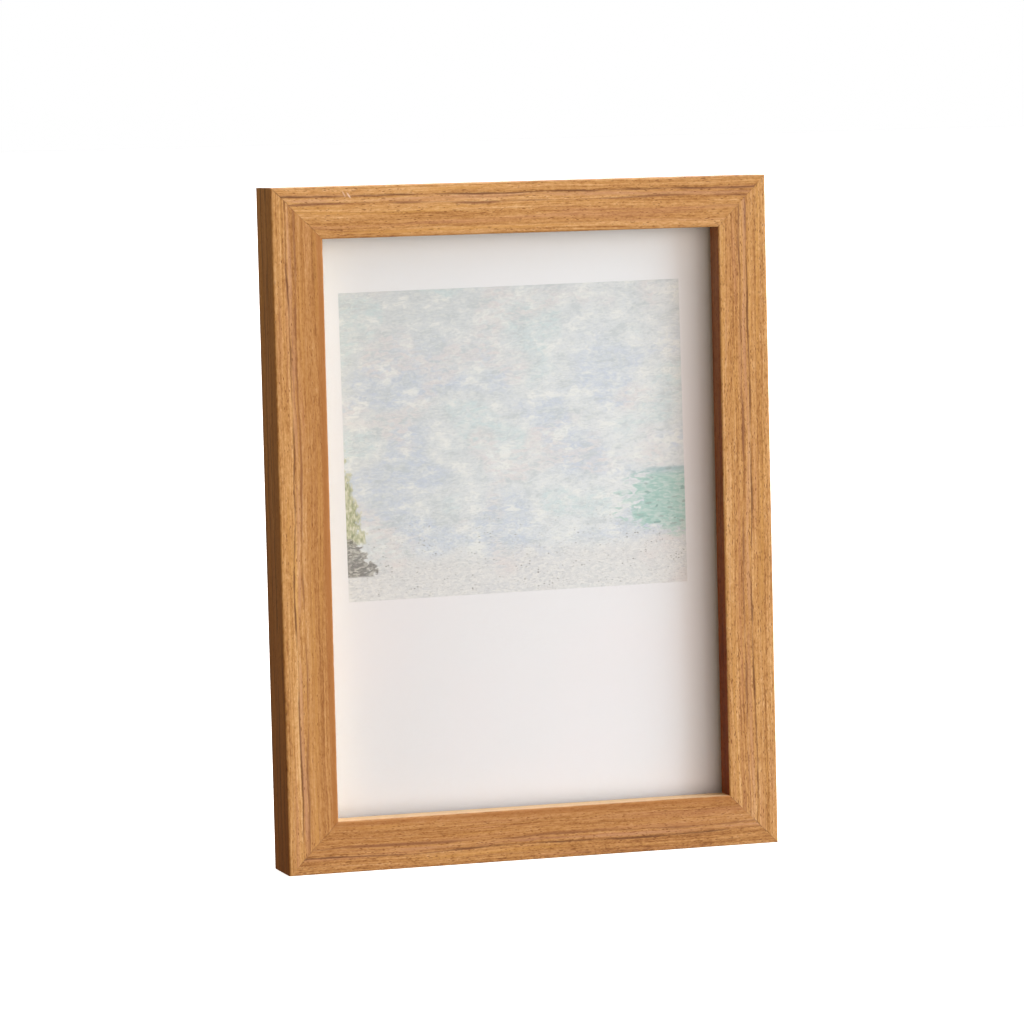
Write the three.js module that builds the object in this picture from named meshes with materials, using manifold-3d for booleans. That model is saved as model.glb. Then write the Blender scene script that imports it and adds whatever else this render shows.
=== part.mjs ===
// Small upright picture frame: four mitred L-section rails, a glazed pack behind the lip, and a backboard
// with turn buttons, an easel strut and two hangers. Millimetres, +Z up, front facing -Y.
// The origin is at the bottom centre of the whole object's box.

import * as THREE from 'three';
import { mergeVertices } from 'three/addons/utils/BufferGeometryUtils.js';
import Module from 'manifold-3d';

const wasm = await Module();
wasm.setup();

// ---- driving dimensions ----

const SHEET_W = 130;              // nominal 13 x 18 cm sheet: glass, print, cards and backboard
const SHEET_H = 180;
const SHEET_PLAY = 0.5;           // room round the sheets in the rebate, each side

const WALL = 12;                  // rail width outside the rebate
const LIP = 3.5;                  // how far the lip reaches in over the glass
const DEPTH = 18;                 // rail depth, front to back
const LIP_DEPTH = 7.5;            // thickness of the lip, so the glass sits this far back
const ARRIS = 0.6;                // rounding of the two front edges
const BACK_ARRIS = 0.4;           // bevel of the outer back edge
const MITRE_SETBACK = 0.06;       // each mitred end stops this far short of the joint

const GLASS_T = 2;
const PRINT_T = 0.25;
const CARD_T = 1.5;
const FILLER_T = 3.2;
const BOARD_T = 3;
const SHEET_GAP = 0.1;            // air between neighbouring sheets

const NAIL_T = 0.4;               // V-nail: sheet thickness, leg length, length into the wood
const NAIL_LEG = 4.5;
const NAIL_LENGTH = 10;
const NAIL_HALF_ANGLE = THREE.MathUtils.degToRad(50);
const NAIL_APEX = { outer: 4, inner: 10 };   // distance of each apex from the outer corner, along the mitre
const NAIL_SINK = 0.2;            // the nail's back edge lies this far under the surface
const CLEARANCE = 0.1;            // general play round fasteners

const BUTTON_STATION = 47.5;      // turn buttons above and below the middle of the side rails
const BUTTON_REACH = 11;          // from the screw to the centre of the rounded tip
const BUTTON_HEEL_R = 4;
const BUTTON_TIP_R = 3;
const BUTTON_T = 1;
const SCREW_HEAD_R = 3;
const SCREW_HEAD_H = 1.5;
const SCREW_R = 1.35;
const SCREW_LENGTH = 9;           // below the head
const SCREW_TIP = 2.2;
const CROSS_LENGTH = 3;           // cross recess in the screw head
const CROSS_WIDTH = 0.7;
const CROSS_DEPTH = 0.8;

const PIN_HEIGHT = 45;            // hinge axis above the middle of the frame
const PIN_OUT = 1.9;              // hinge axis behind the backboard
const PIN_R = 0.75;
const PIN_LENGTH = 25.4;
const KNUCKLE_R = 1.5;
const KNUCKLE_BORE = 0.85;
const KNUCKLE_GAP = 0.2;          // between neighbouring knuckles
const PLATE_W = 26;               // fixed leaf
const PLATE_H = 14;
const PLATE_T = 0.8;
const PLATE_LIFT = 0.1;           // under the leaf
const MIDDLE_KNUCKLE_W = 9.6;
const STRUT_PLATE_W = 18;         // moving leaf
const STRUT_PLATE_H = 12;
const STRUT_PLATE_T = 0.7;
const STRUT_OPEN = THREE.MathUtils.degToRad(30);
const HEEL_LENGTH = 4.2;          // stop on the moving leaf
const HEEL_T = 0.8;
const HEEL_OFFSET = -0.75;        // its inner face from the hinge axis, once the strut is open

const STRUT_T = 2.5;
const STRUT_LIFT = 0.3;           // between the closed strut and the backboard
const STRUT_TOP = 43;             // above the middle of the frame
const STRUT_FOOT = -97.5;         // below it, 5 mm short of the bottom edge
const STRUT_TOP_W = 30;
const STRUT_FOOT_W = 52;
const STRUT_CORNER = 5;

const RIVET_R = 1.2;
const RIVET_HEAD_R = 2.2;
const RIVET_HEAD_H = 0.8;
const RIVET_TAIL_R = 1.9;         // spread end, sunk flush in the wood
const RIVET_FLARE = 0.9;
const HINGE_RIVET = { x: 8, y: 54 };
const STRUT_RIVET = { x: 5.5, y: 37.5 };

const STRAP_W = 6.5;
const STRAP_LENGTH = 7.6;
const STRAP_T = 0.7;
const STRAP_LOOP_R = 1.65;
const STRAP_BORE = 0.95;
const STRAP_RIVET = 4.6;          // from the loop's axis
const RING_R = 0.7;               // wire of the hanger ring
const RING_HALF_W = 6;            // centre line of its legs
const RING_LEG = 10;              // base to the start of the round end
const RING_BEND = 1.6;
const RING_SPLIT = 0.3;           // between the wire's ends, inside the strap
const HANGER_INSET = 6;           // ring axis from the backboard's edge

const ROUND_STEPS = 20;           // facets round pins, rivets, screws and bores
const OVERRUN = 1;                // how far a cutting tool runs past the surface it cuts

// ---- derived dimensions ----

const FACE = WALL + LIP;
const OUTER_W = SHEET_W + 2 * (SHEET_PLAY + WALL);
const OUTER_H = SHEET_H + 2 * (SHEET_PLAY + WALL);
const PACK_T = GLASS_T + PRINT_T + CARD_T + FILLER_T + BOARD_T + 5 * SHEET_GAP;
const BOARD_BACK = LIP_DEPTH + PACK_T;                 // backboard's back face, from the front
const STRUT_PLATE_Z = STRUT_LIFT + STRUT_T + CLEARANCE / 2;
const HARDWARE_PROUD = STRUT_PLATE_Z + STRUT_PLATE_T + RIVET_HEAD_H;
const FRONT_Y = -(BOARD_BACK + HARDWARE_PROUD) / 2;    // centres the object's box on the origin
const STRAP_LIFT = PLATE_LIFT;
const LOOP_OUT = STRAP_LIFT + STRAP_LOOP_R;            // ring axis behind the backboard
const QUARTER = Math.PI / 2;

// ---- materials ----

function material(name, color, roughness, metalness) {
  return new THREE.MeshStandardMaterial({ name, color, roughness, metalness });
}

const oak = () => material('oak', 0xce985e, 0.6, 0);
const glass = () => material('glass', 0xeef4f3, 0.05, 0);
const paper = () => material('paper', 0xeee8e6, 0.8, 0);
const card = () => material('card', 0xe6e2d8, 0.9, 0);
const corrugated = () => material('corrugated_board', 0xb58e60, 0.95, 0);
const hardboard = () => material('hardboard', 0x6b4a30, 0.75, 0);
const steel = () => material('nickel_steel', 0xb9b9b4, 0.35, 1);

// ---- joining and cutting ----

function toSolid(geometry) {
  const bare = geometry.clone();
  bare.deleteAttribute('normal');
  bare.deleteAttribute('uv');
  const merged = mergeVertices(bare);
  return new wasm.Manifold(new wasm.Mesh({
    numProp: 3,
    vertProperties: new Float32Array(merged.attributes.position.array),
    triVerts: new Uint32Array(merged.index.array),
  }));
}

function toGeometry(solid) {
  const mesh = solid.getMesh();
  const geometry = new THREE.BufferGeometry();
  geometry.setAttribute('position', new THREE.BufferAttribute(mesh.vertProperties, 3));
  geometry.setIndex(new THREE.BufferAttribute(mesh.triVerts, 1));
  geometry.computeVertexNormals();
  return geometry;
}

function join(first, ...others) {
  return toGeometry(others.reduce((solid, other) => solid.add(toSolid(other)), toSolid(first)));
}

function cut(body, ...tools) {
  return toGeometry(tools.reduce((solid, tool) => solid.subtract(toSolid(tool)), toSolid(body)));
}

// ---- small shape helpers ----

function named(name, geometry, finish) {
  const mesh = new THREE.Mesh(geometry, finish);
  mesh.name = name;
  return mesh;
}

function extrude(shape, depth, curveSegments = 6) {
  return new THREE.ExtrudeGeometry(shape, { depth, bevelEnabled: false, steps: 1, curveSegments });
}

function polygon(points) {
  return new THREE.Shape(points.map(([x, y]) => new THREE.Vector2(x, y)));
}

// Closed outline through the corners, each rounded off over the distance given with it.
function roundedOutline(corners) {
  const shape = new THREE.Shape();
  corners.forEach(([x, y, trim], i) => {
    const corner = new THREE.Vector2(x, y);
    const before = corners[(i + corners.length - 1) % corners.length];
    const after = corners[(i + 1) % corners.length];
    const start = new THREE.Vector2(before[0], before[1]).sub(corner).setLength(trim).add(corner);
    const end = new THREE.Vector2(after[0], after[1]).sub(corner).setLength(trim).add(corner);
    if (i === 0) {
      shape.moveTo(start.x, start.y);
    } else {
      shape.lineTo(start.x, start.y);
    }
    shape.quadraticCurveTo(x, y, end.x, end.y);
  });
  shape.closePath();
  return shape;
}

// Cylinder along the X axis, centred at (x, y, z).
function barAlongX(radius, length, x, y, z) {
  return new THREE.CylinderGeometry(radius, radius, length, ROUND_STEPS)
    .rotateZ(QUARTER)
    .translate(x, y, z);
}

// Cylinder along the Z axis from z0 to z1.
function barAlongZ(radius, x, y, z0, z1) {
  return new THREE.CylinderGeometry(radius, radius, z1 - z0, ROUND_STEPS)
    .rotateX(QUARTER)
    .translate(x, y, (z0 + z1) / 2);
}

// Points of a low dome from its rim to its crown, for a lathe profile.
function dome(radius, base, height, steps = 4) {
  const points = [];
  for (let i = 0; i <= steps; i += 1) {
    const angle = (i / steps) * QUARTER;
    points.push(new THREE.Vector2(i === steps ? 0 : radius * Math.cos(angle), base + height * Math.sin(angle)));
  }
  return points;
}

// ---- rails and corner nails ----
// A rail's own frame: X inward from its outer face, Y from front to back, Z along its length.

function railProfile() {
  const shape = new THREE.Shape();
  shape.moveTo(0, ARRIS);
  shape.absarc(ARRIS, ARRIS, ARRIS, Math.PI, 1.5 * Math.PI, false);
  shape.lineTo(FACE - ARRIS, 0);
  shape.absarc(FACE - ARRIS, ARRIS, ARRIS, 1.5 * Math.PI, 2 * Math.PI, false);
  shape.lineTo(FACE, LIP_DEPTH);
  shape.lineTo(WALL, LIP_DEPTH);
  shape.lineTo(WALL, DEPTH);
  shape.lineTo(BACK_ARRIS, DEPTH);
  shape.lineTo(0, DEPTH - BACK_ARRIS);
  shape.closePath();
  return shape;
}

// Slides both ends back in step with the distance from the outer face, which mitres them at 45 degrees.
function mitreEnds(geometry, length) {
  const position = geometry.attributes.position;
  for (let i = 0; i < position.count; i += 1) {
    const setback = position.getX(i) + MITRE_SETBACK;
    const z = position.getZ(i) < length / 2 ? setback : length - setback;
    position.setZ(i, z);
  }
  return geometry;
}

// V outline astride the mitre line of the corner at (0, 0), its apex towards that corner.
function chevron(apex, leg, thickness) {
  const along = new THREE.Vector2(1, 1).normalize();
  const across = new THREE.Vector2(-1, 1).normalize();
  const at = (s, p) => along.clone().multiplyScalar(s).addScaledVector(across, p).toArray();
  const c = Math.cos(NAIL_HALF_ANGLE);
  const s = Math.sin(NAIL_HALF_ANGLE);
  const tip = apex + leg * c;
  return [
    at(apex, 0),
    at(tip, -leg * s),
    at(tip + thickness * s, -leg * s + thickness * c),
    at(apex + thickness / s, 0),
    at(tip + thickness * s, leg * s - thickness * c),
    at(tip, leg * s),
  ];
}

// Turns an outline drawn in the rail's X-Z plane into a solid that runs from depth y0 forward by length.
function driveForward(points, y0, length) {
  return extrude(polygon(points), length).rotateX(QUARTER).translate(0, y0, 0);
}

function nailSlots(railLength) {
  const slots = [];
  for (const apex of Object.values(NAIL_APEX)) {
    const apexWithPlay = apex - CLEARANCE / Math.sin(NAIL_HALF_ANGLE);
    const outline = chevron(apexWithPlay, NAIL_LEG + 2 * CLEARANCE, NAIL_T + 2 * CLEARANCE);
    const mirrored = outline.map(([x, z]) => [x, railLength - z]);
    const depth = NAIL_SINK + NAIL_LENGTH + CLEARANCE + OVERRUN;
    slots.push(driveForward(outline, DEPTH + OVERRUN, depth));
    slots.push(driveForward(mirrored, DEPTH + OVERRUN, depth));
  }
  return slots;
}

function makeCornerNail(name, apex) {
  const outline = chevron(apex, NAIL_LEG, NAIL_T);
  return named(name, driveForward(outline, DEPTH - NAIL_SINK, NAIL_LENGTH), steel());
}

function makeRail(name, length, screwStations) {
  const blank = mitreEnds(extrude(railProfile(), length, 3), length);
  const holes = screwStations.map((station) => (
    new THREE.CylinderGeometry(SCREW_R + CLEARANCE, SCREW_R + CLEARANCE, SCREW_LENGTH + OVERRUN, ROUND_STEPS)
      .translate(WALL / 2, DEPTH - (SCREW_LENGTH - OVERRUN) / 2, station)
  ));
  return named(name, cut(blank, ...nailSlots(length), ...holes), oak());
}

// ---- turn buttons ----

function makeTurnButton(name, station) {
  const shape = new THREE.Shape();
  const lean = Math.acos((BUTTON_HEEL_R - BUTTON_TIP_R) / BUTTON_REACH);
  shape.absarc(0, 0, BUTTON_HEEL_R, lean, 2 * Math.PI - lean, false);
  shape.absarc(BUTTON_REACH, 0, BUTTON_TIP_R, -lean, lean, false);
  shape.closePath();
  const hole = new THREE.Path();
  hole.absarc(0, 0, SCREW_R + 2 * CLEARANCE, 0, 2 * Math.PI, true);
  shape.holes.push(hole);
  const plate = extrude(shape, BUTTON_T, 14)
    .rotateX(QUARTER)
    .translate(WALL / 2, DEPTH + CLEARANCE + BUTTON_T, station);
  return named(name, plate, steel());
}

function makeScrew(name, station) {
  const seat = DEPTH + BUTTON_T + 2 * CLEARANCE;
  const profile = [
    new THREE.Vector2(0, seat - SCREW_LENGTH),
    new THREE.Vector2(SCREW_R, seat - SCREW_LENGTH + SCREW_TIP),
    new THREE.Vector2(SCREW_R, seat),
    ...dome(SCREW_HEAD_R, seat, SCREW_HEAD_H),
  ];
  const body = new THREE.LatheGeometry(profile, ROUND_STEPS);
  const slotY = seat + SCREW_HEAD_H - CROSS_DEPTH / 2 + OVERRUN / 2;
  const slotHeight = CROSS_DEPTH + OVERRUN;
  const crossA = new THREE.BoxGeometry(CROSS_LENGTH, slotHeight, CROSS_WIDTH).translate(0, slotY, 0);
  const crossB = new THREE.BoxGeometry(CROSS_WIDTH, slotHeight, CROSS_LENGTH).translate(0, slotY, 0);
  const screw = cut(body, crossA, crossB).translate(WALL / 2, 0, station);
  return named(name, screw, steel());
}

// Each side is a rail, the two nails at its first corner, and the buttons it carries. The four sides are
// the same drawing turned by quarters about the Y axis.
function makeSide({ rail, corner, length, x, z, turn, buttons }) {
  const side = new THREE.Group();
  const stations = buttons.map(({ offset }) => length / 2 + offset);
  side.add(makeRail(rail, length, stations));
  for (const [place, apex] of Object.entries(NAIL_APEX)) {
    side.add(makeCornerNail(`corner_nail_${corner}_${place}`, apex));
  }
  buttons.forEach(({ label, offset }) => {
    side.add(makeTurnButton(`turn_button_${label}`, length / 2 + offset));
    side.add(makeScrew(`button_screw_${label}`, length / 2 + offset));
  });
  side.position.set(x, FRONT_Y, z);
  side.rotation.y = turn * QUARTER;
  return side;
}

function makeSides() {
  const halfW = OUTER_W / 2;
  return [
    {
      rail: 'rail_left', corner: 'bottom_left', length: OUTER_H, x: -halfW, z: 0, turn: 0,
      buttons: [
        { label: 'left_lower', offset: -BUTTON_STATION },
        { label: 'left_upper', offset: BUTTON_STATION },
      ],
    },
    { rail: 'rail_top', corner: 'top_left', length: OUTER_W, x: -halfW, z: OUTER_H, turn: 1, buttons: [] },
    {
      rail: 'rail_right', corner: 'top_right', length: OUTER_H, x: halfW, z: OUTER_H, turn: 2,
      buttons: [
        { label: 'right_upper', offset: -BUTTON_STATION },
        { label: 'right_lower', offset: BUTTON_STATION },
      ],
    },
    { rail: 'rail_bottom', corner: 'bottom_right', length: OUTER_W, x: halfW, z: 0, turn: 3, buttons: [] },
  ].map(makeSide);
}

// ---- the pack behind the lip ----

function makeSheet(name, thickness, depth, finish) {
  const sheet = named(name, new THREE.BoxGeometry(SHEET_W, thickness, SHEET_H), finish);
  sheet.position.set(0, FRONT_Y + depth + thickness / 2, OUTER_H / 2);
  return sheet;
}

function makePack() {
  const layers = [
    ['glass_pane', GLASS_T, glass()],
    ['art_print', PRINT_T, paper()],
    ['backing_card', CARD_T, card()],
    ['filler_board', FILLER_T, corrugated()],
  ];
  let depth = LIP_DEPTH + SHEET_GAP;
  return layers.map(([name, thickness, finish]) => {
    const sheet = makeSheet(name, thickness, depth, finish);
    depth += thickness + SHEET_GAP;
    return sheet;
  });
}

// ---- the back ----
// Drawn as seen from behind: X to the viewer's right, Y up from the middle of the frame, Z out of the back,
// with Z = 0 on the backboard's back face.

function makeRivet(name, x, y, tail, seat) {
  const profile = [
    new THREE.Vector2(0, tail),
    new THREE.Vector2(RIVET_TAIL_R, tail),
    new THREE.Vector2(RIVET_R, tail + RIVET_FLARE),
    new THREE.Vector2(RIVET_R, seat),
    ...dome(RIVET_HEAD_R, seat, RIVET_HEAD_H, 3),
  ];
  const rivet = new THREE.LatheGeometry(profile, ROUND_STEPS).rotateX(QUARTER).translate(x, y, 0);
  return named(name, rivet, steel());
}

// The flared hole a rivet fills, from below the board's inner face at tail up to the top.
function rivetHole(x, y, tail, top) {
  const profile = [
    new THREE.Vector2(0, tail - OVERRUN),
    new THREE.Vector2(RIVET_TAIL_R + CLEARANCE, tail - OVERRUN),
    new THREE.Vector2(RIVET_TAIL_R + CLEARANCE, tail),
    new THREE.Vector2(RIVET_R + CLEARANCE, tail + RIVET_FLARE),
    new THREE.Vector2(RIVET_R + CLEARANCE, top + OVERRUN),
    new THREE.Vector2(0, top + OVERRUN),
  ];
  return new THREE.LatheGeometry(profile, ROUND_STEPS).rotateX(QUARTER).translate(x, y, 0);
}

const hangers = [
  { label: 'portrait', turn: 0, x: 0, y: SHEET_H / 2 - HANGER_INSET },
  { label: 'landscape', turn: -1, x: SHEET_W / 2 - HANGER_INSET, y: 0 },
];

// Where a hanger's rivet sits on the backboard.
function hangerRivetPlace({ x, y, turn }) {
  const place = new THREE.Vector2(0, -STRAP_RIVET).rotateAround(new THREE.Vector2(), turn * QUARTER);
  return place.add(new THREE.Vector2(x, y));
}

function makeBackboard() {
  const blank = new THREE.BoxGeometry(SHEET_W, SHEET_H, BOARD_T).translate(0, 0, -BOARD_T / 2);
  const places = [
    new THREE.Vector2(-HINGE_RIVET.x, HINGE_RIVET.y),
    new THREE.Vector2(HINGE_RIVET.x, HINGE_RIVET.y),
    ...hangers.map(hangerRivetPlace),
  ];
  const holes = places.map(({ x, y }) => rivetHole(x, y, -BOARD_T, 0));
  return named('backboard', cut(blank, ...holes), hardboard());
}

function makeHingePlate() {
  const half = PLATE_W / 2;
  const notch = MIDDLE_KNUCKLE_W / 2 + KNUCKLE_GAP;
  const notchTop = PIN_HEIGHT + KNUCKLE_R + 2 * KNUCKLE_GAP;
  const outline = new THREE.Shape();
  outline.moveTo(-half, PIN_HEIGHT);
  outline.lineTo(-notch, PIN_HEIGHT);
  outline.lineTo(-notch, notchTop);
  outline.lineTo(notch, notchTop);
  outline.lineTo(notch, PIN_HEIGHT);
  outline.lineTo(half, PIN_HEIGHT);
  outline.lineTo(half, PIN_HEIGHT + PLATE_H - 2);
  outline.quadraticCurveTo(half, PIN_HEIGHT + PLATE_H, half - 2, PIN_HEIGHT + PLATE_H);
  outline.lineTo(2 - half, PIN_HEIGHT + PLATE_H);
  outline.quadraticCurveTo(-half, PIN_HEIGHT + PLATE_H, -half, PIN_HEIGHT + PLATE_H - 2);
  outline.closePath();
  const plate = extrude(outline, PLATE_T, 4).translate(0, 0, PLATE_LIFT);
  const knuckleW = half - notch;
  const knuckleX = notch + knuckleW / 2;
  const body = join(
    plate,
    barAlongX(KNUCKLE_R, knuckleW, -knuckleX, PIN_HEIGHT, PIN_OUT),
    barAlongX(KNUCKLE_R, knuckleW, knuckleX, PIN_HEIGHT, PIN_OUT),
  );
  const plateTop = PLATE_LIFT + PLATE_T;
  const drilled = cut(
    body,
    barAlongX(KNUCKLE_BORE, PLATE_W + 2 * OVERRUN, 0, PIN_HEIGHT, PIN_OUT),
    barAlongZ(RIVET_R + CLEARANCE, -HINGE_RIVET.x, HINGE_RIVET.y, -OVERRUN, plateTop + OVERRUN),
    barAlongZ(RIVET_R + CLEARANCE, HINGE_RIVET.x, HINGE_RIVET.y, -OVERRUN, plateTop + OVERRUN),
  );
  return named('hinge_plate', drilled, steel());
}

// The heel leans out from the back while the strut is shut, and lies along the fixed leaf once it is open.
function heelStop() {
  const width = MIDDLE_KNUCKLE_W;
  const start = KNUCKLE_BORE + CLEARANCE;
  return new THREE.BoxGeometry(width, HEEL_LENGTH - start, HEEL_T)
    .translate(0, (HEEL_LENGTH + start) / 2, HEEL_OFFSET + HEEL_T / 2)
    .rotateX(STRUT_OPEN)
    .translate(0, PIN_HEIGHT, PIN_OUT);
}

function makeStrutPlate() {
  const neck = MIDDLE_KNUCKLE_W / 2;
  const half = STRUT_PLATE_W / 2;
  const shoulder = PIN_HEIGHT - KNUCKLE_R - 2 * KNUCKLE_GAP;
  const foot = PIN_HEIGHT - STRUT_PLATE_H;
  const outline = new THREE.Shape();
  outline.moveTo(neck, PIN_HEIGHT);
  outline.lineTo(-neck, PIN_HEIGHT);
  outline.lineTo(-neck, shoulder);
  outline.lineTo(-half, shoulder);
  outline.lineTo(-half, foot + 2);
  outline.quadraticCurveTo(-half, foot, 2 - half, foot);
  outline.lineTo(half - 2, foot);
  outline.quadraticCurveTo(half, foot, half, foot + 2);
  outline.lineTo(half, shoulder);
  outline.lineTo(neck, shoulder);
  outline.closePath();
  const plate = extrude(outline, STRUT_PLATE_T, 4).translate(0, 0, STRUT_PLATE_Z);
  const body = join(plate, barAlongX(KNUCKLE_R, 2 * neck, 0, PIN_HEIGHT, PIN_OUT), heelStop());
  const top = STRUT_PLATE_Z + STRUT_PLATE_T + OVERRUN;
  const drilled = cut(
    body,
    barAlongX(KNUCKLE_BORE, PLATE_W, 0, PIN_HEIGHT, PIN_OUT),
    barAlongZ(RIVET_R + CLEARANCE, -STRUT_RIVET.x, STRUT_RIVET.y, STRUT_PLATE_Z - OVERRUN, top),
    barAlongZ(RIVET_R + CLEARANCE, STRUT_RIVET.x, STRUT_RIVET.y, STRUT_PLATE_Z - OVERRUN, top),
  );
  return named('strut_plate', drilled, steel());
}

function makeStrut() {
  const outline = roundedOutline([
    [-STRUT_TOP_W / 2, STRUT_TOP, 2],
    [-STRUT_FOOT_W / 2, STRUT_FOOT, STRUT_CORNER],
    [STRUT_FOOT_W / 2, STRUT_FOOT, STRUT_CORNER],
    [STRUT_TOP_W / 2, STRUT_TOP, 2],
  ]);
  const blank = extrude(outline, STRUT_T, 5).translate(0, 0, STRUT_LIFT);
  const top = STRUT_LIFT + STRUT_T;
  const drilled = cut(
    blank,
    rivetHole(-STRUT_RIVET.x, STRUT_RIVET.y, STRUT_LIFT, top),
    rivetHole(STRUT_RIVET.x, STRUT_RIVET.y, STRUT_LIFT, top),
  );
  return named('easel_strut', drilled, hardboard());
}

function makeStrutParts() {
  const boardSeat = PLATE_LIFT + PLATE_T + CLEARANCE / 2;
  const strutSeat = STRUT_PLATE_Z + STRUT_PLATE_T;
  const pin = named('hinge_pin', barAlongX(PIN_R, PIN_LENGTH, 0, PIN_HEIGHT, PIN_OUT), steel());
  return [
    makeHingePlate(),
    pin,
    makeStrutPlate(),
    makeStrut(),
    makeRivet('hinge_rivet_left', HINGE_RIVET.x, HINGE_RIVET.y, -BOARD_T, boardSeat),
    makeRivet('hinge_rivet_right', -HINGE_RIVET.x, HINGE_RIVET.y, -BOARD_T, boardSeat),
    makeRivet('strut_rivet_left', STRUT_RIVET.x, STRUT_RIVET.y, STRUT_LIFT, strutSeat),
    makeRivet('strut_rivet_right', -STRUT_RIVET.x, STRUT_RIVET.y, STRUT_LIFT, strutSeat),
  ];
}

// ---- hangers ----
// A hanger's own frame: the ring's axis is the X axis, and the ring hangs down along -Y.

function makeStrap(name) {
  const half = STRAP_W / 2;
  const outline = roundedOutline([
    [-half, 0, 0.01],
    [-half, -STRAP_LENGTH, 2],
    [half, -STRAP_LENGTH, 2],
    [half, 0, 0.01],
  ]);
  const plate = extrude(outline, STRAP_T, 4).translate(0, 0, STRAP_LIFT);
  const body = join(plate, barAlongX(STRAP_LOOP_R, STRAP_W, 0, 0, LOOP_OUT));
  const drilled = cut(
    body,
    barAlongX(STRAP_BORE, STRAP_W + 2 * OVERRUN, 0, 0, LOOP_OUT),
    barAlongZ(RIVET_R + CLEARANCE, 0, -STRAP_RIVET, -OVERRUN, STRAP_LIFT + STRAP_T + OVERRUN),
  );
  return named(name, drilled, steel());
}

// Centre line of the ring: split base bar, two legs and a round end.
function ringPath() {
  const path = new THREE.Path();
  path.moveTo(RING_SPLIT / 2, 0);
  path.lineTo(RING_HALF_W - RING_BEND, 0);
  path.absarc(RING_HALF_W - RING_BEND, -RING_BEND, RING_BEND, QUARTER, 0, true);
  path.lineTo(RING_HALF_W, -RING_LEG);
  path.absarc(0, -RING_LEG, RING_HALF_W, 0, -Math.PI, true);
  path.lineTo(-RING_HALF_W, -RING_BEND);
  path.absarc(RING_BEND - RING_HALF_W, -RING_BEND, RING_BEND, Math.PI, QUARTER, true);
  path.lineTo(-RING_SPLIT / 2, 0);
  const points = path.getSpacedPoints(60).map(({ x, y }) => new THREE.Vector3(x, y, LOOP_OUT));
  return new THREE.CatmullRomCurve3(points, false, 'centripetal');
}

function makeRing(name) {
  const section = new THREE.Shape();
  section.absarc(0, 0, RING_R, 0, 2 * Math.PI, false);
  const wire = new THREE.ExtrudeGeometry(section, {
    extrudePath: ringPath(),
    steps: 44,
    curveSegments: 5,
    bevelEnabled: false,
  });
  return named(name, wire, steel());
}

function makeHanger({ label, turn, x, y }) {
  const hanger = new THREE.Group();
  hanger.add(
    makeStrap(`hanger_strap_${label}`),
    makeRing(`hanger_ring_${label}`),
    makeRivet(`hanger_rivet_${label}`, 0, -STRAP_RIVET, -BOARD_T, STRAP_LIFT + STRAP_T + CLEARANCE / 2),
  );
  hanger.position.set(x, y, 0);
  hanger.rotation.z = turn * QUARTER;
  return hanger;
}

function makeBack() {
  const back = new THREE.Group();
  back.add(makeBackboard(), ...makeStrutParts(), ...hangers.map(makeHanger));
  back.position.set(0, FRONT_Y + BOARD_BACK, OUTER_H / 2);
  back.rotation.set(QUARTER, Math.PI, 0);
  return back;
}

const frame = new THREE.Group();
frame.name = 'picture_frame';
frame.add(...makeSides(), ...makePack(), makeBack());

export default frame;
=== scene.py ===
from math import acos, cos, degrees, hypot, pi, radians, sin, sqrt

import bmesh
import bpy
from mathutils import Matrix, Vector, noise
from mathutils.geometry import tessellate_polygon


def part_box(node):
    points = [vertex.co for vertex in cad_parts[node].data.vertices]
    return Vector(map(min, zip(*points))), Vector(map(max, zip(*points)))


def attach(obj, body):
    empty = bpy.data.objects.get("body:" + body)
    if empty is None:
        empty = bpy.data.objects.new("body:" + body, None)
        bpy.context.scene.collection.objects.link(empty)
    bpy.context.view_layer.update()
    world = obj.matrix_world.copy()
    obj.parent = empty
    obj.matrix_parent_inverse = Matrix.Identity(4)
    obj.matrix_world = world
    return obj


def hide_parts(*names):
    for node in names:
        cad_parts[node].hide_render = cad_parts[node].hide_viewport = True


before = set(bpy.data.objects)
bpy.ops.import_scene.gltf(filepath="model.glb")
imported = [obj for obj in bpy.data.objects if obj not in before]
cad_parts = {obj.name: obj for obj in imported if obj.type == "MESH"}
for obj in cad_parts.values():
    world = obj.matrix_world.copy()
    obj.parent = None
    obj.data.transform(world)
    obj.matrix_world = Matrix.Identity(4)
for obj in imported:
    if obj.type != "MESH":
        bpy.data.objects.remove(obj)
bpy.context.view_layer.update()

scene = bpy.context.scene

# Lengths are millimetres until a mesh is finished, and metres after that.
MM = 0.001
SHARP_ANGLE = radians(32)

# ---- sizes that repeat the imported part's own drawing ----

ARRIS = 0.6  # rounding of the front edges of the rails
BACK_ARRIS = 0.4
SETBACK = 0.02  # gap from a mitred end to the mitre plane
CLEARANCE = 0.1
PLAY = 0.5  # of the sheets in the rebate, on each side
NAIL_APEX = (4.0, 10.0)  # V-nails, along the mitre from the outer corner
NAIL_LEG = 4.5
NAIL_T = 0.4
NAIL_LENGTH = 10.2
NAIL_HALF_ANGLE = radians(50)

BUTTON_HEIGHTS = {"lower": 55.0, "upper": 150.0}
BUTTON_REACH = 11.0
BUTTON_HEEL_R = 4.0
BUTTON_TIP_R = 3.0
BUTTON_HOLE_R = 1.55
BUTTON_T = 1.0
SCREW_HEAD_R = 3.0
SCREW_HEAD_H = 1.5
SCREW_R = 1.35
SCREW_LENGTH = 9.0
SCREW_TIP = 2.2
SCREW_PITCH = 1.1
THREAD_H = 0.15
SCREW_NECK = 1.2  # plain part under the head
CROSS_DEPTH = 0.8

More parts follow.
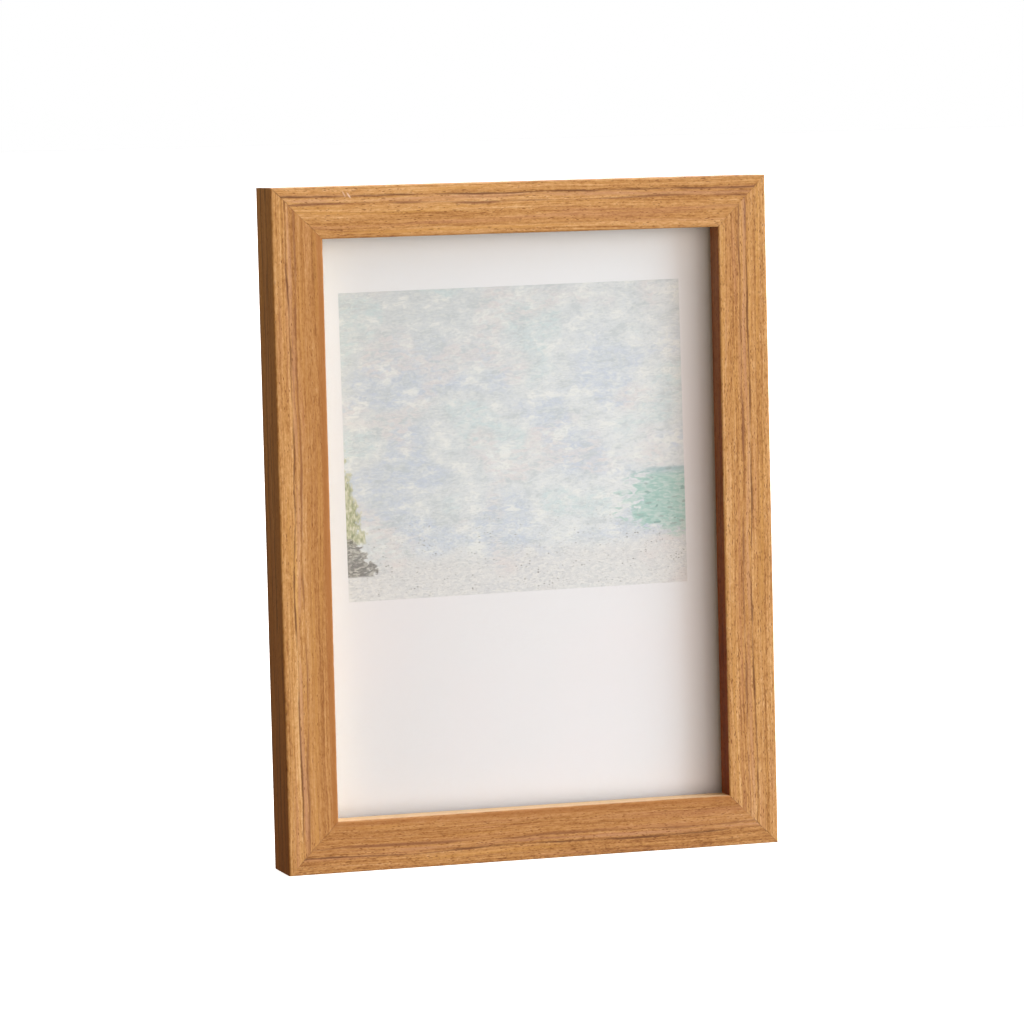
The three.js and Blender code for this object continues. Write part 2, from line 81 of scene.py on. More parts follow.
PIN_OUT = 1.9  # hinge axis behind the backboard
PIN_R = 0.75
KNUCKLE_R = 1.5
KNUCKLE_BORE = 0.85
KNUCKLE_GAP = 0.2
MIDDLE_KNUCKLE = 9.6
LEAF_CORNER = 2.0
PLATE_W = 26.0
PLATE_H = 14.0
PLATE_T = 0.8
PLATE_LIFT = 0.1
STRUT_PLATE_W = 18.0
STRUT_PLATE_H = 12.0
STRUT_PLATE_T = 0.7
STRUT_PLATE_Z = 2.85
HEEL_LENGTH = 4.2
HEEL_T = 0.8
HEEL_OFFSET = -0.75
STRUT_OPEN = radians(30)
STRUT_T = 2.5
STRUT_LIFT = 0.3
STRUT_TOP_W = 30.0
STRUT_FOOT_W = 52.0
HINGE_RIVET = (8.0, 54.0)
STRUT_RIVET = (5.5, 37.5)
RIVET_R = 1.2
RIVET_HEAD_R = 2.2
RIVET_HEAD_H = 0.8
RIVET_TAIL_R = 1.9
RIVET_FLARE = 0.9

STRAP_W = 6.5
STRAP_LENGTH = 7.6
STRAP_T = 0.7
STRAP_LOOP_R = 1.65
STRAP_BORE = 0.95
STRAP_RIVET = 4.6
RING_R = 0.7
RING_HALF_W = 6.0
RING_LEG = 10.0
RING_BEND = 1.6
RING_SPLIT = 0.3
LOOP_OUT = PLATE_LIFT + STRAP_LOOP_R


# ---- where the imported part's pieces are ----

def box_mm(node):
    low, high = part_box(node)
    return Vector(low) / MM, Vector(high) / MM


LEFT_LOW, LEFT_HIGH = box_mm("rail_left")
BOARD_LOW, BOARD_HIGH = box_mm("backboard")
STRUT_LOW, STRUT_HIGH = box_mm("easel_strut")
PIN_LOW, PIN_HIGH = box_mm("hinge_pin")

FRONT = LEFT_LOW.y
HALF_W = -LEFT_LOW.x
OUTER_W = 2 * HALF_W
OUTER_H = LEFT_HIGH.z
MIDDLE = OUTER_H / 2
FACE = LEFT_HIGH.x - LEFT_LOW.x
DEPTH = LEFT_HIGH.y - LEFT_LOW.y
LIP_DEPTH = box_mm("glass_pane")[0].y - CLEARANCE - FRONT
WALL = BOARD_LOW.x - LEFT_LOW.x - PLAY
BOARD_T = BOARD_HIGH.y - BOARD_LOW.y
PIN_Z = (PIN_LOW.z + PIN_HIGH.z) / 2 - MIDDLE
STRUT_TOP = STRUT_HIGH.z - MIDDLE
STRUT_FOOT = STRUT_LOW.z - MIDDLE


# ---- mesh helpers ----

def shown(name, data):
    """A new object in the scene."""
    item = bpy.data.objects.new(name, data)
    scene.collection.objects.link(item)
    return item


def tidy(mesh, merge=1e-5):
    bm = bmesh.new()
    bm.from_mesh(mesh)
    bmesh.ops.remove_doubles(bm, verts=bm.verts, dist=merge)
    bmesh.ops.dissolve_degenerate(bm, edges=bm.edges, dist=merge)
    bmesh.ops.recalc_face_normals(bm, faces=bm.faces)
    bm.to_mesh(mesh)
    bm.free()
    return mesh


def mesh_of(points, faces):
    """A closed mesh with its faces turned outward."""
    mesh = bpy.data.meshes.new("solid")
    mesh.from_pydata(points, [], faces)
    return tidy(mesh)


def moved(mesh, matrix):
    mesh.transform(matrix)
    return mesh


def shift(x=0.0, y=0.0, z=0.0):
    return Matrix.Translation((x, y, z))


def basis(x_axis, y_axis, z_axis, origin=(0, 0, 0)):
    return Matrix((*zip(x_axis, y_axis, z_axis, origin), (0, 0, 0, 1)))


def boolean(body, tool, operation="DIFFERENCE"):
    """Cuts the tool's mesh out of the body's mesh, or joins the two."""
    holder = shown("body", body)
    other = shown("tool", tool)
    modifier = holder.modifiers.new("cut", "BOOLEAN")
    modifier.operation = operation
    modifier.solver = "EXACT"
    modifier.object = other
    bpy.context.view_layer.update()
    graph = bpy.context.evaluated_depsgraph_get()
    result = bpy.data.meshes.new_from_object(holder.evaluated_get(graph))
    for item in (holder, other):
        bpy.data.objects.remove(item)
    return tidy(result, 1e-4)


def gathered(meshes):
    """Several separate meshes as one."""
    bm = bmesh.new()
    for mesh in meshes:
        bm.from_mesh(mesh)
    result = bpy.data.meshes.new("gathered")
    bm.to_mesh(result)
    bm.free()
    return result


def numbered(loops):
    """All the points of some loops in one list, and each loop's place in it."""
    points = []
    rows = []
    for loop in loops:
        rows.append(range(len(points), len(points) + len(loop)))
        points += loop
    return points, rows


def joined(rows, closed=False):
    """Faces between each loop and the next, and between the last and the first if closed."""
    faces = []
    for below, above in zip(rows, rows[1:] + rows[:1] * closed):
        for i in range(len(below)):
            j = (i + 1) % len(below)
            faces.append((below[i], below[j], above[j], above[i]))
    return faces


def cap(points, rows):
    """Triangles that fill the first loop, less the holes after it."""
    indices = [i for row in rows for i in row]
    triangles = tessellate_polygon([[Vector(points[i]) for i in row] for row in rows])
    return [tuple(indices[i] for i in triangle) for triangle in triangles]


def swept(loops):
    """A solid through a row of outlines with as many points each."""
    points, rows = numbered(loops)
    return mesh_of(points, joined(rows) + cap(points, rows[:1]) + cap(points, rows[-1:]))


def prism(outline, y0, y1):
    """A straight-sided solid from an outline in the X-Z plane."""
    return swept([[(x, y, z) for x, z in outline] for y in (y0, y1)])


def inset(loop, amount):
    """The loop moved to its left by amount: into the material for an anticlockwise outline."""
    points = []
    for i, (x, y) in enumerate(loop):
        before_x, before_y = loop[i - 1]
        after_x, after_y = loop[(i + 1) % len(loop)]
        before = Vector((x - before_x, y - before_y)).normalized()
        after = Vector((after_x - x, after_y - y)).normalized()
        middle = Vector((-before.y - after.y, before.x + after.x))
        middle /= max(0.3, middle.length_squared / 2)
        points.append((x + middle.x * amount, y + middle.y * amount))
    return points


def plate(outline, holes, z0, z1, edge, rounds=3):
    """A flat piece with rounded edges. The outline runs anticlockwise and the holes clockwise."""
    angles = [i / rounds * pi / 2 for i in range(rounds + 1)]
    rise = [(edge * (1 - sin(angle)), edge * (1 - cos(angle))) for angle in angles]
    levels = [(amount, z0 + step) for amount, step in rise]
    levels += [(amount, z1 - step) for amount, step in reversed(rise)]
    loops = [outline, *holes]
    count = len(loops)
    points, rows = numbered([(x, y, z) for x, y in inset(loop, amount)] for amount, z in levels for loop in loops)
    faces = cap(points, rows[:count]) + cap(points, rows[-count:])
    for first in range(count):
        faces += joined(rows[first::count])
    return mesh_of(points, faces)


def arc(x, y, radius, start, end, steps):
    angles = [radians(start + (end - start) * i / steps) for i in range(steps + 1)]
    return [(x + radius * cos(angle), y + radius * sin(angle)) for angle in angles]


def circle(x, y, radius, steps=32):
    """Clockwise, for a hole."""
    return arc(x, y, radius, 0, -360, steps)[:-1]


def rounded(corners, steps=6):
    """An outline through corners of (x, y, radius), each rounded."""
    points = []
    for i, (x, y, trim) in enumerate(corners):
        here = Vector((x, y))
        before = (Vector(corners[i - 1][:2]) - here).normalized() * trim + here
        after = (Vector(corners[(i + 1) % len(corners)][:2]) - here).normalized() * trim + here
        for k in range(steps + 1):
            t = k / steps
            p = before * (1 - t) ** 2 + here * 2 * t * (1 - t) + after * t * t
            points.append((p.x, p.y))
    return points


def rounded_box(x0, y0, x1, y1, corner, steps):
    return rounded([(x0, y0, corner), (x1, y0, corner), (x1, y1, corner), (x0, y1, corner)], steps)


def mirrored(right):
    """A whole outline from its right half, which runs anticlockwise."""
    return right + [(-x, y) for x, y in reversed(right)]


def turn_points(steps):
    return [2 * pi * i / steps for i in range(steps)]


def lathe(profile, steps=48, wobble=None):
    """A solid turned about Z, from the bottom pole to the top pole. wobble(angle, z) adds to the radius."""
    loops = []
    for radius, z in profile[1:-1]:
        loop = []
        for angle in turn_points(steps):
            r = radius + (wobble(angle, z) if wobble else 0)
            loop.append((r * cos(angle), r * sin(angle), z))
        loops.append(loop)
    points, rows = numbered(loops)
    faces = joined(rows)
    for (_, z), row in ((profile[0], rows[0]), (profile[-1], rows[-1])):
        faces += [(i, j, len(points)) for i, j in zip(row, [*row[1:], row[0]])]
        points.append((0, 0, z))
    return mesh_of(points, faces)


def tube(outer, inner, length, edge=0.12, steps=40):
    """A tube about Z, centred at the origin, with eased ends."""
    half = length / 2
    section = [(inner, edge - half), (inner + edge, -half), (outer - edge, -half), (outer, edge - half)]
    section += [(r, -z) for r, z in reversed(section)]
    points, rows = numbered(
        [(r * cos(angle), r * sin(angle), z) for r, z in section] for angle in turn_points(steps)
    )
    return mesh_of(points, joined(rows, closed=True))


def wire(path, radius, sides=16, ease=0.18):
    """Round wire along a flat path in the XY plane, its two ends eased."""
    last = len(path) - 1
    stations = [(0, radius - ease, 0), (0, radius, ease)]
    stations += [(i, radius, 0) for i in range(1, last)]
    stations += [(last, radius, -ease), (last, radius - ease, 0)]
    loops = []
    for i, r, pull in stations:
        along = (Vector(path[min(i + 1, last)]) - Vector(path[max(i - 1, 0)])).normalized()
        side = Vector((-along.y, along.x))
        centre = Vector(path[i]) + along * pull
        loop = []
        for angle in turn_points(sides):
            flat = centre + side * r * cos(angle)
            loop.append((flat.x, flat.y, r * sin(angle)))
        loops.append(loop)
    return swept(loops)


def dome(radius, height, seat, step):
    """Profile of a domed head, from near its rim to its pole. The step is in degrees."""
    angles = [radians(angle) for angle in range(10, 90, step)]
    return [(radius * cos(angle), seat + height * sin(angle)) for angle in angles] + [(0, seat + height)]


def finish_piece(name, mesh, matrix, node, body="frame", slot="nickel_steel"):
    """Turns a millimetre mesh into a shown piece that stands for a CAD node and rides on a body."""
    mesh.transform(matrix)
    mesh.transform(Matrix.Scale(MM, 4))
    mesh.name = name
    mesh.materials.clear()
    mesh.materials.append(SLOTS[slot])
    mesh.shade_smooth()
    mesh.set_sharp_from_angle(angle=SHARP_ANGLE)
    piece = shown(name, mesh)
    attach(piece, body)
    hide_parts(node)


# ---- shader helpers ----

WHITE = (255, 255, 255)


def linear(colour):
    """A display colour in 0 to 255 as the linear colour that shaders take."""
    levels = [level / 255 for level in colour]
    return (*(v / 12.92 if v <= 0.04045 else ((v + 0.055) / 1.055) ** 2.4 for v in levels), 1.0)


def operator(name, swapped=False):
    """The method that lays out a maths node for a value and another value or number."""
    def lay_out(self, other):
        terms = (other, self) if swapped else (self, other)
        return self.shader.math(name, *terms)
    return lay_out


class Value:
    """A node's output. Sums are written with it as they are with a number."""

    def __init__(self, shader, socket):
        self.shader = shader
        self.socket = socket

    __add__ = __radd__ = operator("ADD")
    __sub__ = operator("SUBTRACT")
    __rsub__ = operator("SUBTRACT", swapped=True)
    __mul__ = __rmul__ = operator("MULTIPLY")
    __truediv__ = operator("DIVIDE")

    def __abs__(self):
        return self.shader.math("ABSOLUTE", self)


class Shader:
    """Lays out the nodes of one material, or of the world. A colour is a triple of 0 to 255."""

    def __init__(self, name, owner=None, output="ShaderNodeOutputMaterial"):
        self.owner = owner or bpy.data.materials.new(name)
        self.owner.use_nodes = True
        self.tree = self.owner.node_tree
        self.tree.nodes.clear()
        self.output = self.node(output)

    def feed(self, socket, item):
        if isinstance(item, Value):
            self.tree.links.new(item.socket, socket)
        elif item is not None:
            socket.default_value = linear(item) if isinstance(item, tuple) else item

    def node(self, kind, inputs=(), **settings):
        node = self.tree.nodes.new(kind)
        for key, setting in settings.items():
            setattr(node, key, setting)
        for key, item in dict(inputs).items():
            self.feed(node.inputs[key], item)
        return node

    def value(self, kind, inputs=(), output=0, **settings):
        """A new node's output."""
        return Value(self, self.node(kind, inputs, **settings).outputs[output])

    def math(self, operation, *terms):
        return self.value("ShaderNodeMath", enumerate(terms), operation=operation)

    def larger(self, a, b):
        return self.math("MAXIMUM", a, b)

    def smaller(self, a, b):
        return self.math("MINIMUM", a, b)

    def length(self, a, b):
        return self.math("SQRT", a * a + b * b)

    def swing(self, value, reach):
        """0 to 1 turned into -reach to reach."""
        return self.math("MULTIPLY_ADD", value, 2 * reach, -reach)

    def join(self, *axes):
        return self.value("ShaderNodeCombineXYZ", enumerate(axes))

    def split(self, vector):
        node = self.node("ShaderNodeSeparateXYZ", {0: vector})
        return tuple(Value(self, socket) for socket in node.outputs)

    def attribute(self, name, output="Vector"):
        return self.value("ShaderNodeAttribute", output=output, attribute_name=name)

    def place(self):
        """The point on the piece, in millimetres."""
        point = self.value("ShaderNodeTexCoord", output="Object")
        return self.value("ShaderNodeVectorMath", {0: point, "Scale": 1 / MM}, operation="SCALE")

    def noise(self, vector, scale=1.0, detail=2, rough=0.5, distortion=0.0):
        inputs = {"Vector": vector, "Scale": scale, "Detail": detail, "Roughness": rough, "Distortion": distortion}
        return self.value("ShaderNodeTexNoise", inputs, "Fac")

    def field(self, axes, scales, **settings):
        """Noise over three coordinates, each with its own scale. A plain number only sets the noise apart."""
        scaled = (axis * scale if scale else axis for axis, scale in zip(axes, scales))
        return self.noise(self.join(*scaled), **settings)

    def cells(self, *point):
        """Distance to the nearest point of a scatter, and that point's three random numbers."""
        inputs = {"Vector": self.join(*point), "Scale": 1.0, "Randomness": 1.0}
        node = self.node("ShaderNodeTexVoronoi", inputs, feature="F1")
        return Value(self, node.outputs["Distance"]), self.split(Value(self, node.outputs["Color"]))

    def between(self, value, low, high, out_low=0.0, out_high=1.0, kind="SMOOTHSTEP"):
        """The value mapped from low..high to out_low..out_high, and held at both ends."""
        return self.value(
            "ShaderNodeMapRange", enumerate((value, low, high, out_low, out_high)), interpolation_type=kind,
        )

    def ramp(self, value, *stops):
        node = self.node("ShaderNodeValToRGB", {0: value})
        elements = node.color_ramp.elements
        while len(elements) < len(stops):
            elements.new(0.5)
        for element, (position, colour) in zip(elements, stops):
            element.position = position
            element.color = linear(colour)
        return Value(self, node.outputs[0])

    def mix(self, factor, a, b, blend="MIX"):
        return self.value("ShaderNodeMix", {0: factor, 6: a, 7: b}, 2, data_type="RGBA", blend_type=blend)

    def over(self, colour, *layers):
        """Tints laid over a colour in turn, each as (factor, tint)."""
        for factor, tint in layers:
            colour = self.mix(factor, colour, tint)
        return colour

    def bump(self, height, distance, strength):
        """Height in 0 to 1, distance in millimetres."""
        return self.value("ShaderNodeBump", {"Height": height, "Distance": distance * MM, "Strength": strength})

    def finish(self, shader):
        self.feed(self.output.inputs[0], shader)
        return self.owner

    def surface(self, colour, roughness, normal=None, **constants):
        inputs = {"Base Color": colour, "Roughness": roughness, "Normal": normal}
        for key, item in constants.items():
            inputs[key.replace("_", " ")] = item
        return self.finish(self.value("ShaderNodeBsdfPrincipled", inputs))


# ---- oak ----

# Each vertex of a rail carries what the wood needs. "grain" is its place: inward from the outer face, back
# from the front, and along the rail. The next rail's places start this much further along.
RAIL_SPACING = 400

# Streak lines across a rail's face: centre and half width in mm from the outer edge, how far they wander,
# strength and colour.
STREAKS = (
    (4.2, 0.36, 1.3, 0.90, (108, 66, 38)),
    (5.2, 0.62, 1.3, 0.50, (190, 142, 108)),
    (6.3, 0.44, 1.5, 0.78, (128, 82, 54)),
    (1.7, 0.20, 0.8, 0.40, (146, 96, 52)),
    (8.9, 0.24, 1.4, 0.38, (150, 100, 58)),
    (10.8, 0.22, 1.4, 0.30, (150, 100, 58)),
    (13.0, 0.26, 1.0, 0.36, (156, 104, 58)),
)

# Pores: how many to a millimetre across and along the grain, their reach and weight, and where each scatter
# is taken from.
PORES = ((2.4, 0.80, 0.36, 0.75, 0.0), (1.8, 0.50, 0.32, 1.0, 31.0), (1.3, 0.24, 0.24, 0.95, 57.0))

# Two short pale scratches on the top rail: inward, along, lean in radians and strength.
SCRATCHES = ((2.3, 22.3, 0.5, 0.4), (2.8, 23.8, 0.6, 0.7))


def oak_material():
    s = Shader("oak")
    u, v, w = rail = s.split(s.attribute("grain"))
    first_end, second_end, layer_shift = s.split(s.attribute("mitre"))
    pore_density, depth_of_stain, inner_edge_shade = s.split(s.attribute("figure_and_edge_shade"))
    side_stain_and_painted_light = s.attribute("side_stain_and_painted_light", "Fac")

    sway = s.field(rail, (0.015, 0.02, 0.012), detail=1)
    ripple = s.field(rail, (0.10, 0.08, 0.075))
    layer = u * 0.94 + v * 0.55 + layer_shift + (s.swing(sway, 1.7) + s.swing(ripple, 0.35))
    across = v * 0.7 - u * 0.25
    growth = (layer, across, w)

    bands = s.field(growth, (0.45, 0.1, 0.006))
    stripes = s.field(growth, (2.1, 0.4, 0.03), detail=3, rough=0.55)
    fibres = s.field(growth, (3.4, 1.8, 0.60), detail=3, rough=0.6)
    speckle = s.field(growth, (2.0, 2.0, 1.3), rough=0.6)
    mottle = s.field(growth, (1.4, 1.0, 0.30), detail=3, rough=0.6)
    hue = s.field(growth, (0.6, 0.2, 0.016))
    colour = s.over(
        s.ramp(
            bands * 0.24 + stripes * 0.34 + fibres * 0.25 + mottle * 0.18 + speckle * 0.13 - 0.07,
            (0.37, (136, 88, 42)), (0.44, (170, 117, 61)), (0.50, (190, 139, 79)), (0.56, (204, 155, 97)),
            (0.64, (221, 178, 126)),
        ),
        (s.between(hue, 0.54, 0.74, 0, 0.42), (188, 134, 96)),
        (s.between(hue, 0.46, 0.30, 0, 0.40), (206, 154, 78)),
    )

    lines = 0.0
    for index, (centre, half, wander, strength, tint) in enumerate(STREAKS):
        drift = s.field((7.3 * index + 2.1, v, w), (0, 0.03, 0.018))
        breaks = s.field((3.9 * index, layer, w), (0, 0.5, 0.055), detail=3)
        distance = abs(layer - centre - s.swing(drift, wander)) + s.swing(fibres, 0.12)
        width = s.between(breaks, 0.3, 0.7, half * 0.5, half * 1.5)
        line = s.between(distance / width, 1.1, 0.1) * s.between(breaks, 0.34, 0.60, 0.22, 1) * strength
        colour = s.mix(line, colour, tint)
        lines = s.larger(lines, line)

    pores = 0.0
    for size, length, reach, weight, seed in PORES:
        distance, (chance, _, _) = s.cells(layer * size + seed, across * size, w * length)
        crowd = s.field((layer, seed, w), (0.8, 0, 0.03))
        limit = crowd * 1.1 + pore_density * 0.5 - 0.55
        pore = s.between(distance, reach, reach * 0.4) * s.between(limit - chance, -0.05, 0.10) * weight
        pores = s.larger(pores, pore)
    colour = s.mix(pores * 0.80, colour, (118, 68, 33))

    for inward, along, lean, strength in SCRATCHES:
        du = u - inward
        dw = w - (RAIL_SPACING + along)
        along_mark = abs(du * cos(lean) + dw * sin(lean))
        aside_mark = abs(dw * cos(lean) - du * sin(lean))
        mark = s.between(along_mark, 1.3, 0.3) * s.between(aside_mark, 0.34, 0.06) * s.between(v, 1.0, 0.3) * strength
        colour = s.mix(mark, colour, (240, 214, 190))
        lines = s.larger(lines, mark)

    # Painted shade: the inner half and inner edge of the face darker, most on the left and bottom rails, as beside a
    # lit inner wall.
    inner_half = s.between(u, 5.0, 7.5, 0, 0.28)
    inner_rim = s.between(FACE - u, 3.3, 1.2, 0, 0.85)
    edge_shade = s.larger(inner_half, inner_rim) * s.between(v, 0.9, 0.5) * inner_edge_shade
    colour = s.mix(edge_shade, colour, (160, 100, 44))
    stain = s.field(rail, (0.2, 0.2, 0.02))
    # Painted light and shade on the sides. Above zero darkens like stain, with painted shade on the left side's lower
    # end and the right rail's lip wall. Below zero paints the lit lip walls paler.
    painted_side_light_and_stain = side_stain_and_painted_light * s.between(v, 0.2, 0.6)
    stain_and_painted_shade = depth_of_stain * s.between(stain, 0.3, 0.7, 0.75, 1.25) + s.larger(painted_side_light_and_stain, 0)
    colour = s.mix(stain_and_painted_shade, colour, (178, 119, 58), "MULTIPLY")

    edge = s.smaller(s.length(u, v), s.length(FACE - u, v))
    rubbed = s.field(rail, (0.6, 0.6, 0.35), detail=3)
    # Paler front arrises: partly wear, partly a painted highlight along the edges.
    wear_and_edge_highlight = s.between(edge, 0.7, 0.2) * s.between(rubbed, 0.38, 0.66, 0.1, 0.7) * s.between(u, 2, 13, 1, 0.4)
    to_mitre = s.smaller(first_end, second_end) * sqrt(0.5)
    joint = s.field(rail, (0.22, 0.5, 0.05), detail=1)
    seam = s.between(to_mitre, 0.30, 0.04) * s.between(joint, 0.47, 0.58, 0.03, 1)
    colour = s.over(
        colour,
        # Painted light: the lit lip walls paler.
        (s.larger(painted_side_light_and_stain * -1, 0), (254, 224, 178)),
        (wear_and_edge_highlight * 0.5, (232, 186, 134)),
        (seam * 0.5, (118, 74, 38)),
    )

    height = fibres * 0.3 + stripes * 0.2 + mottle * 0.15 - pores * 0.7 - lines * 0.2 - seam * 0.4
    roughness = fibres * 0.16 + 0.34 + pores * 0.2 - wear_and_edge_highlight * 0.06
    sheen = s.between(abs(painted_side_light_and_stain), 0.1, 0.9, 0.5, 0.12)
    return s.surface(colour, roughness, s.bump(height, 0.07, 0.7), IOR=1.45, Specular_IOR_Level=sheen)


# ---- print ----

# The picture on the sheet, in mm from the frame's centre line and its bottom edge, turned a little.
PICTURE_LEFT = -54.8
PICTURE_RIGHT = 52.7
PICTURE_BOTTOM = 80.6
PICTURE_TOP = 173.4
PICTURE_TURN = radians(0.5)
PICTURE_SOFT_EDGE = 0.08


def print_material():
    s = Shader("seascape_print")
    place = s.place()
    x, _, z = s.split(place)
    width = PICTURE_RIGHT - PICTURE_LEFT
    height = PICTURE_TOP - PICTURE_BOTTOM
    dx = x - (PICTURE_LEFT + width / 2)
    dz = z - (PICTURE_BOTTOM + height / 2)
    px = dx * cos(PICTURE_TURN) + dz * sin(PICTURE_TURN)
    pz = dz * cos(PICTURE_TURN) - dx * sin(PICTURE_TURN)
    to_edge = s.smaller(width / 2 - abs(px), height / 2 - abs(pz))
    inside = s.between(to_edge, -PICTURE_SOFT_EDGE, PICTURE_SOFT_EDGE)
    p = px / width + 0.5
    q = pz / height + 0.5

    def marks(seed, x_scale, z_scale, detail=2, rough=0.5):
        """Noise over the picture."""
        return s.field((px, seed, pz), (x_scale, 0, z_scale), detail=detail, rough=rough)

    def dabs(seed, x_scale, z_scale, x_shake, z_shake):
        """Random numbers for small level brush marks."""
        return s.cells(px * x_scale + shake * x_shake, seed, pz * z_scale + shake * z_shake)[1]

    # Sky: pale grey laid on in small level dabs, with paler clouds.
    stroke = marks(0.0, 0.11, 0.20, 4, 0.6)
    shake = marks(7.0, 0.30, 0.55)
    wide = marks(8.3, 0.042, 0.055, 1)
    other = marks(21.7, 0.05, 0.06, 1)
    bristle = marks(6.0, 1.4, 3.0, 2, 0.6)
    dab, dab_two, _ = dabs(0.0, 0.42, 0.95, 2.4, 1.6)
    touch = dabs(5.0, 1.0, 2.2, 3.0, 2.0)[0]
    lilac = s.between(wide, 0.50, 0.60) * s.between(q, 0.92, 0.70) * s.between(dab, 0, 1, 0.35, 0.9)
    mint = s.between(wide, 0.47, 0.37) * s.between(dab_two, 0, 1, 0.2, 0.8)
    rose = s.between(other, 0.53, 0.64) * s.between(dab, 1, 0, 0.1, 0.7)
    cloud = s.between(stroke, 0.50, 0.62) * s.between(dab_two, 0.35, 0.6, 0.25, 1)
    shade = s.between(stroke, 0.49, 0.38) * s.between(dab, 0.4, 0.65, 0.2, 1)
    sky = s.over(
        s.mix(s.between(p * 0.6 - q * 0.5 + stroke, 0.1, 0.9), (220, 223, 228), (232, 233, 237)),
        (lilac, (206, 213, 229)),
        (mint, (212, 225, 229)),
        (rose, (232, 223, 225)),
        (cloud * 0.85, (243, 242, 242)),
        (shade * 0.7, (205, 210, 215)),
        (s.between(touch, 0.70, 0.78, 0, 0.34), (238, 238, 236)),
        (s.between(touch, 0.28, 0.20, 0, 0.30), (200, 205, 210)),
        (s.between(bristle, 0.52, 0.66, 0, 0.22), (240, 240, 238)),
        (s.between(bristle, 0.48, 0.34, 0, 0.20), (200, 206, 210)),
    )

    # Sea: pale teal running in from the right, in short level touches, bluer at the horizon.
    swell, crest, _ = dabs(3.0, 0.6, 1.9, 0.8, 0.4)
    sea = s.over(
        s.ramp(
            swell * 0.6 + bristle * 0.4,
            (0.15, (166, 200, 196)), (0.42, (181, 211, 206)), (0.60, (193, 215, 211)), (0.85, (213, 224, 222)),
        ),
        (s.between(q, 0.35, 0.39, 0, 0.6), (160, 180, 200)),
        (s.between(crest, 0.92, 0.96, 0, 0.4), (112, 138, 140)),
    )
    shore = marks(1.0, 0.12, 0.2, 4, 0.6)
    fringe = dab * 0.5 + shake * 0.5
    below_horizon = 0.388 + s.swing(shore, 0.006) - q
    above_sand = q - (p * -0.22 + 0.37 + s.swing(fringe, 0.04))
    from_left = p + s.swing(fringe, 0.11) - abs(q - 0.22) * 0.25
    in_sea = s.between(below_horizon, 0, 0.01) * s.between(above_sand, 0, 0.02)
    in_sea = in_sea * s.between(from_left, 0.80, 0.86) * s.between(below_horizon, 0.0, 0.05, 0.75, 1)

    # Beach: pale sand with light grains and gathered dark ones.
    sand = s.mix(rose, s.ramp(
        touch * 0.5 + bristle * 0.5, (0.20, (218, 214, 216)), (0.50, (229, 226, 227)), (0.80, (239, 236, 236)),
    ), (230, 219, 220))
    distance, (chance, second, _) = s.cells(px * 1.15, 0.0, pz * 2.0)
    crowd = marks(9.0, 0.13, 0.35)
    reach = s.between(distance, 0.42, 0.18) * s.between(q, 0.34, 0.14)
    grains = reach * s.between(chance + s.swing(crowd, 1.2), 1.02, 1.12)
    faint = reach * s.between(second + s.swing(crowd, 0.25), 0.80, 0.90)
    rise = s.between(p, 0.55, 1.0, 0.13, 0.16) + s.swing(shore, 0.05)
    in_sand = s.between(rise - q, -0.05, 0.04) * s.between(touch, 0, 1, 0.7, 1)

    # A grassy bank with a few low rocks at the left edge.
    tuft = marks(4.0, 1.1, 0.55, 3, 0.65)
    clump = marks(4.0, 0.3, 0.22)
    grass = s.ramp(
        tuft, (0.36, (126, 132, 104)), (0.45, (168, 172, 128)), (0.54, (202, 200, 164)), (0.64, (228, 223, 206)),
    )
    bank_edge = s.between(q, 0.52, 0.20, 0, 0.05) + s.swing(tuft, 0.035) + s.swing(clump, 0.045)
    in_bank = s.between(bank_edge - p, 0, 0.012) * s.between(q, 0.17, 0.20) * s.between(q, 0.53, 0.49)
    rock = s.ramp(
        touch * 0.5 + tuft * 0.5, (0.30, (118, 114, 112)), (0.50, (148, 144, 139)), (0.70, (192, 188, 182)),
    )
    rock_edge = s.between(q, 0.21, 0.09, 0, 0.05) + dab * 0.03 + 0.015
    in_rocks = s.between(rock_edge - p, 0, 0.008) * s.between(q, 0.21, 0.20) * s.between(q, 0.075, 0.085)

    picture = s.over(
        s.mix(in_sea, sky, sea),
        (in_sand, sand),
        (faint * 0.30, (150, 145, 138)),
        (grains * 0.75, (104, 100, 94)),
        (in_bank * 0.85, grass),
        (in_rocks * 0.85, rock),
    )
    paper_and_painted_light = s.over(
        s.mix(s.between(s.noise(place, 1.6), 0.35, 0.65), (243, 240, 244), (241, 237, 241)),
        (s.between(s.noise(place, 0.02), 0.4, 0.65, 0, 0.5), (245, 238, 242)),
        # Painted light: the sheet paler and bluer towards its top.
        (s.between(z, 120, 185, 0, 0.8), (247, 247, 252)),
    )
    fibre = s.noise(place, 4.0, detail=3, rough=0.65)
    relief = fibre * 0.6 + inside * 0.2 + stroke * inside * 0.3
    roughness = fibre * 0.12 + 0.58 - inside * 0.08
    return s.surface(s.mix(inside, paper_and_painted_light, picture), roughness, s.bump(relief, 0.004, 0.4), IOR=1.4)


# ---- other materials ----

def glass_material():
    """Clear sheet: mostly seen through, with a mirror film that grows at grazing angles."""
    s = Shader("picture_glass")
    smear = s.noise(s.place(), 0.035, detail=3, rough=0.6)
    clear = s.value("ShaderNodeBsdfTransparent", {"Color": (251.8, 253.3, 253.3)})
    mirror = s.value("ShaderNodeBsdfGlossy", {"Color": WHITE, "Roughness": s.between(smear, 0.4, 0.7, 0.01, 0.05)})
    facing = s.value("ShaderNodeLayerWeight", {"Blend": 0.5}, "Facing")
    amount = s.math("POWER", facing, 5.0) * 0.96 + 0.04
    return s.finish(s.value("ShaderNodeMixShader", enumerate((amount, clear, mirror))))


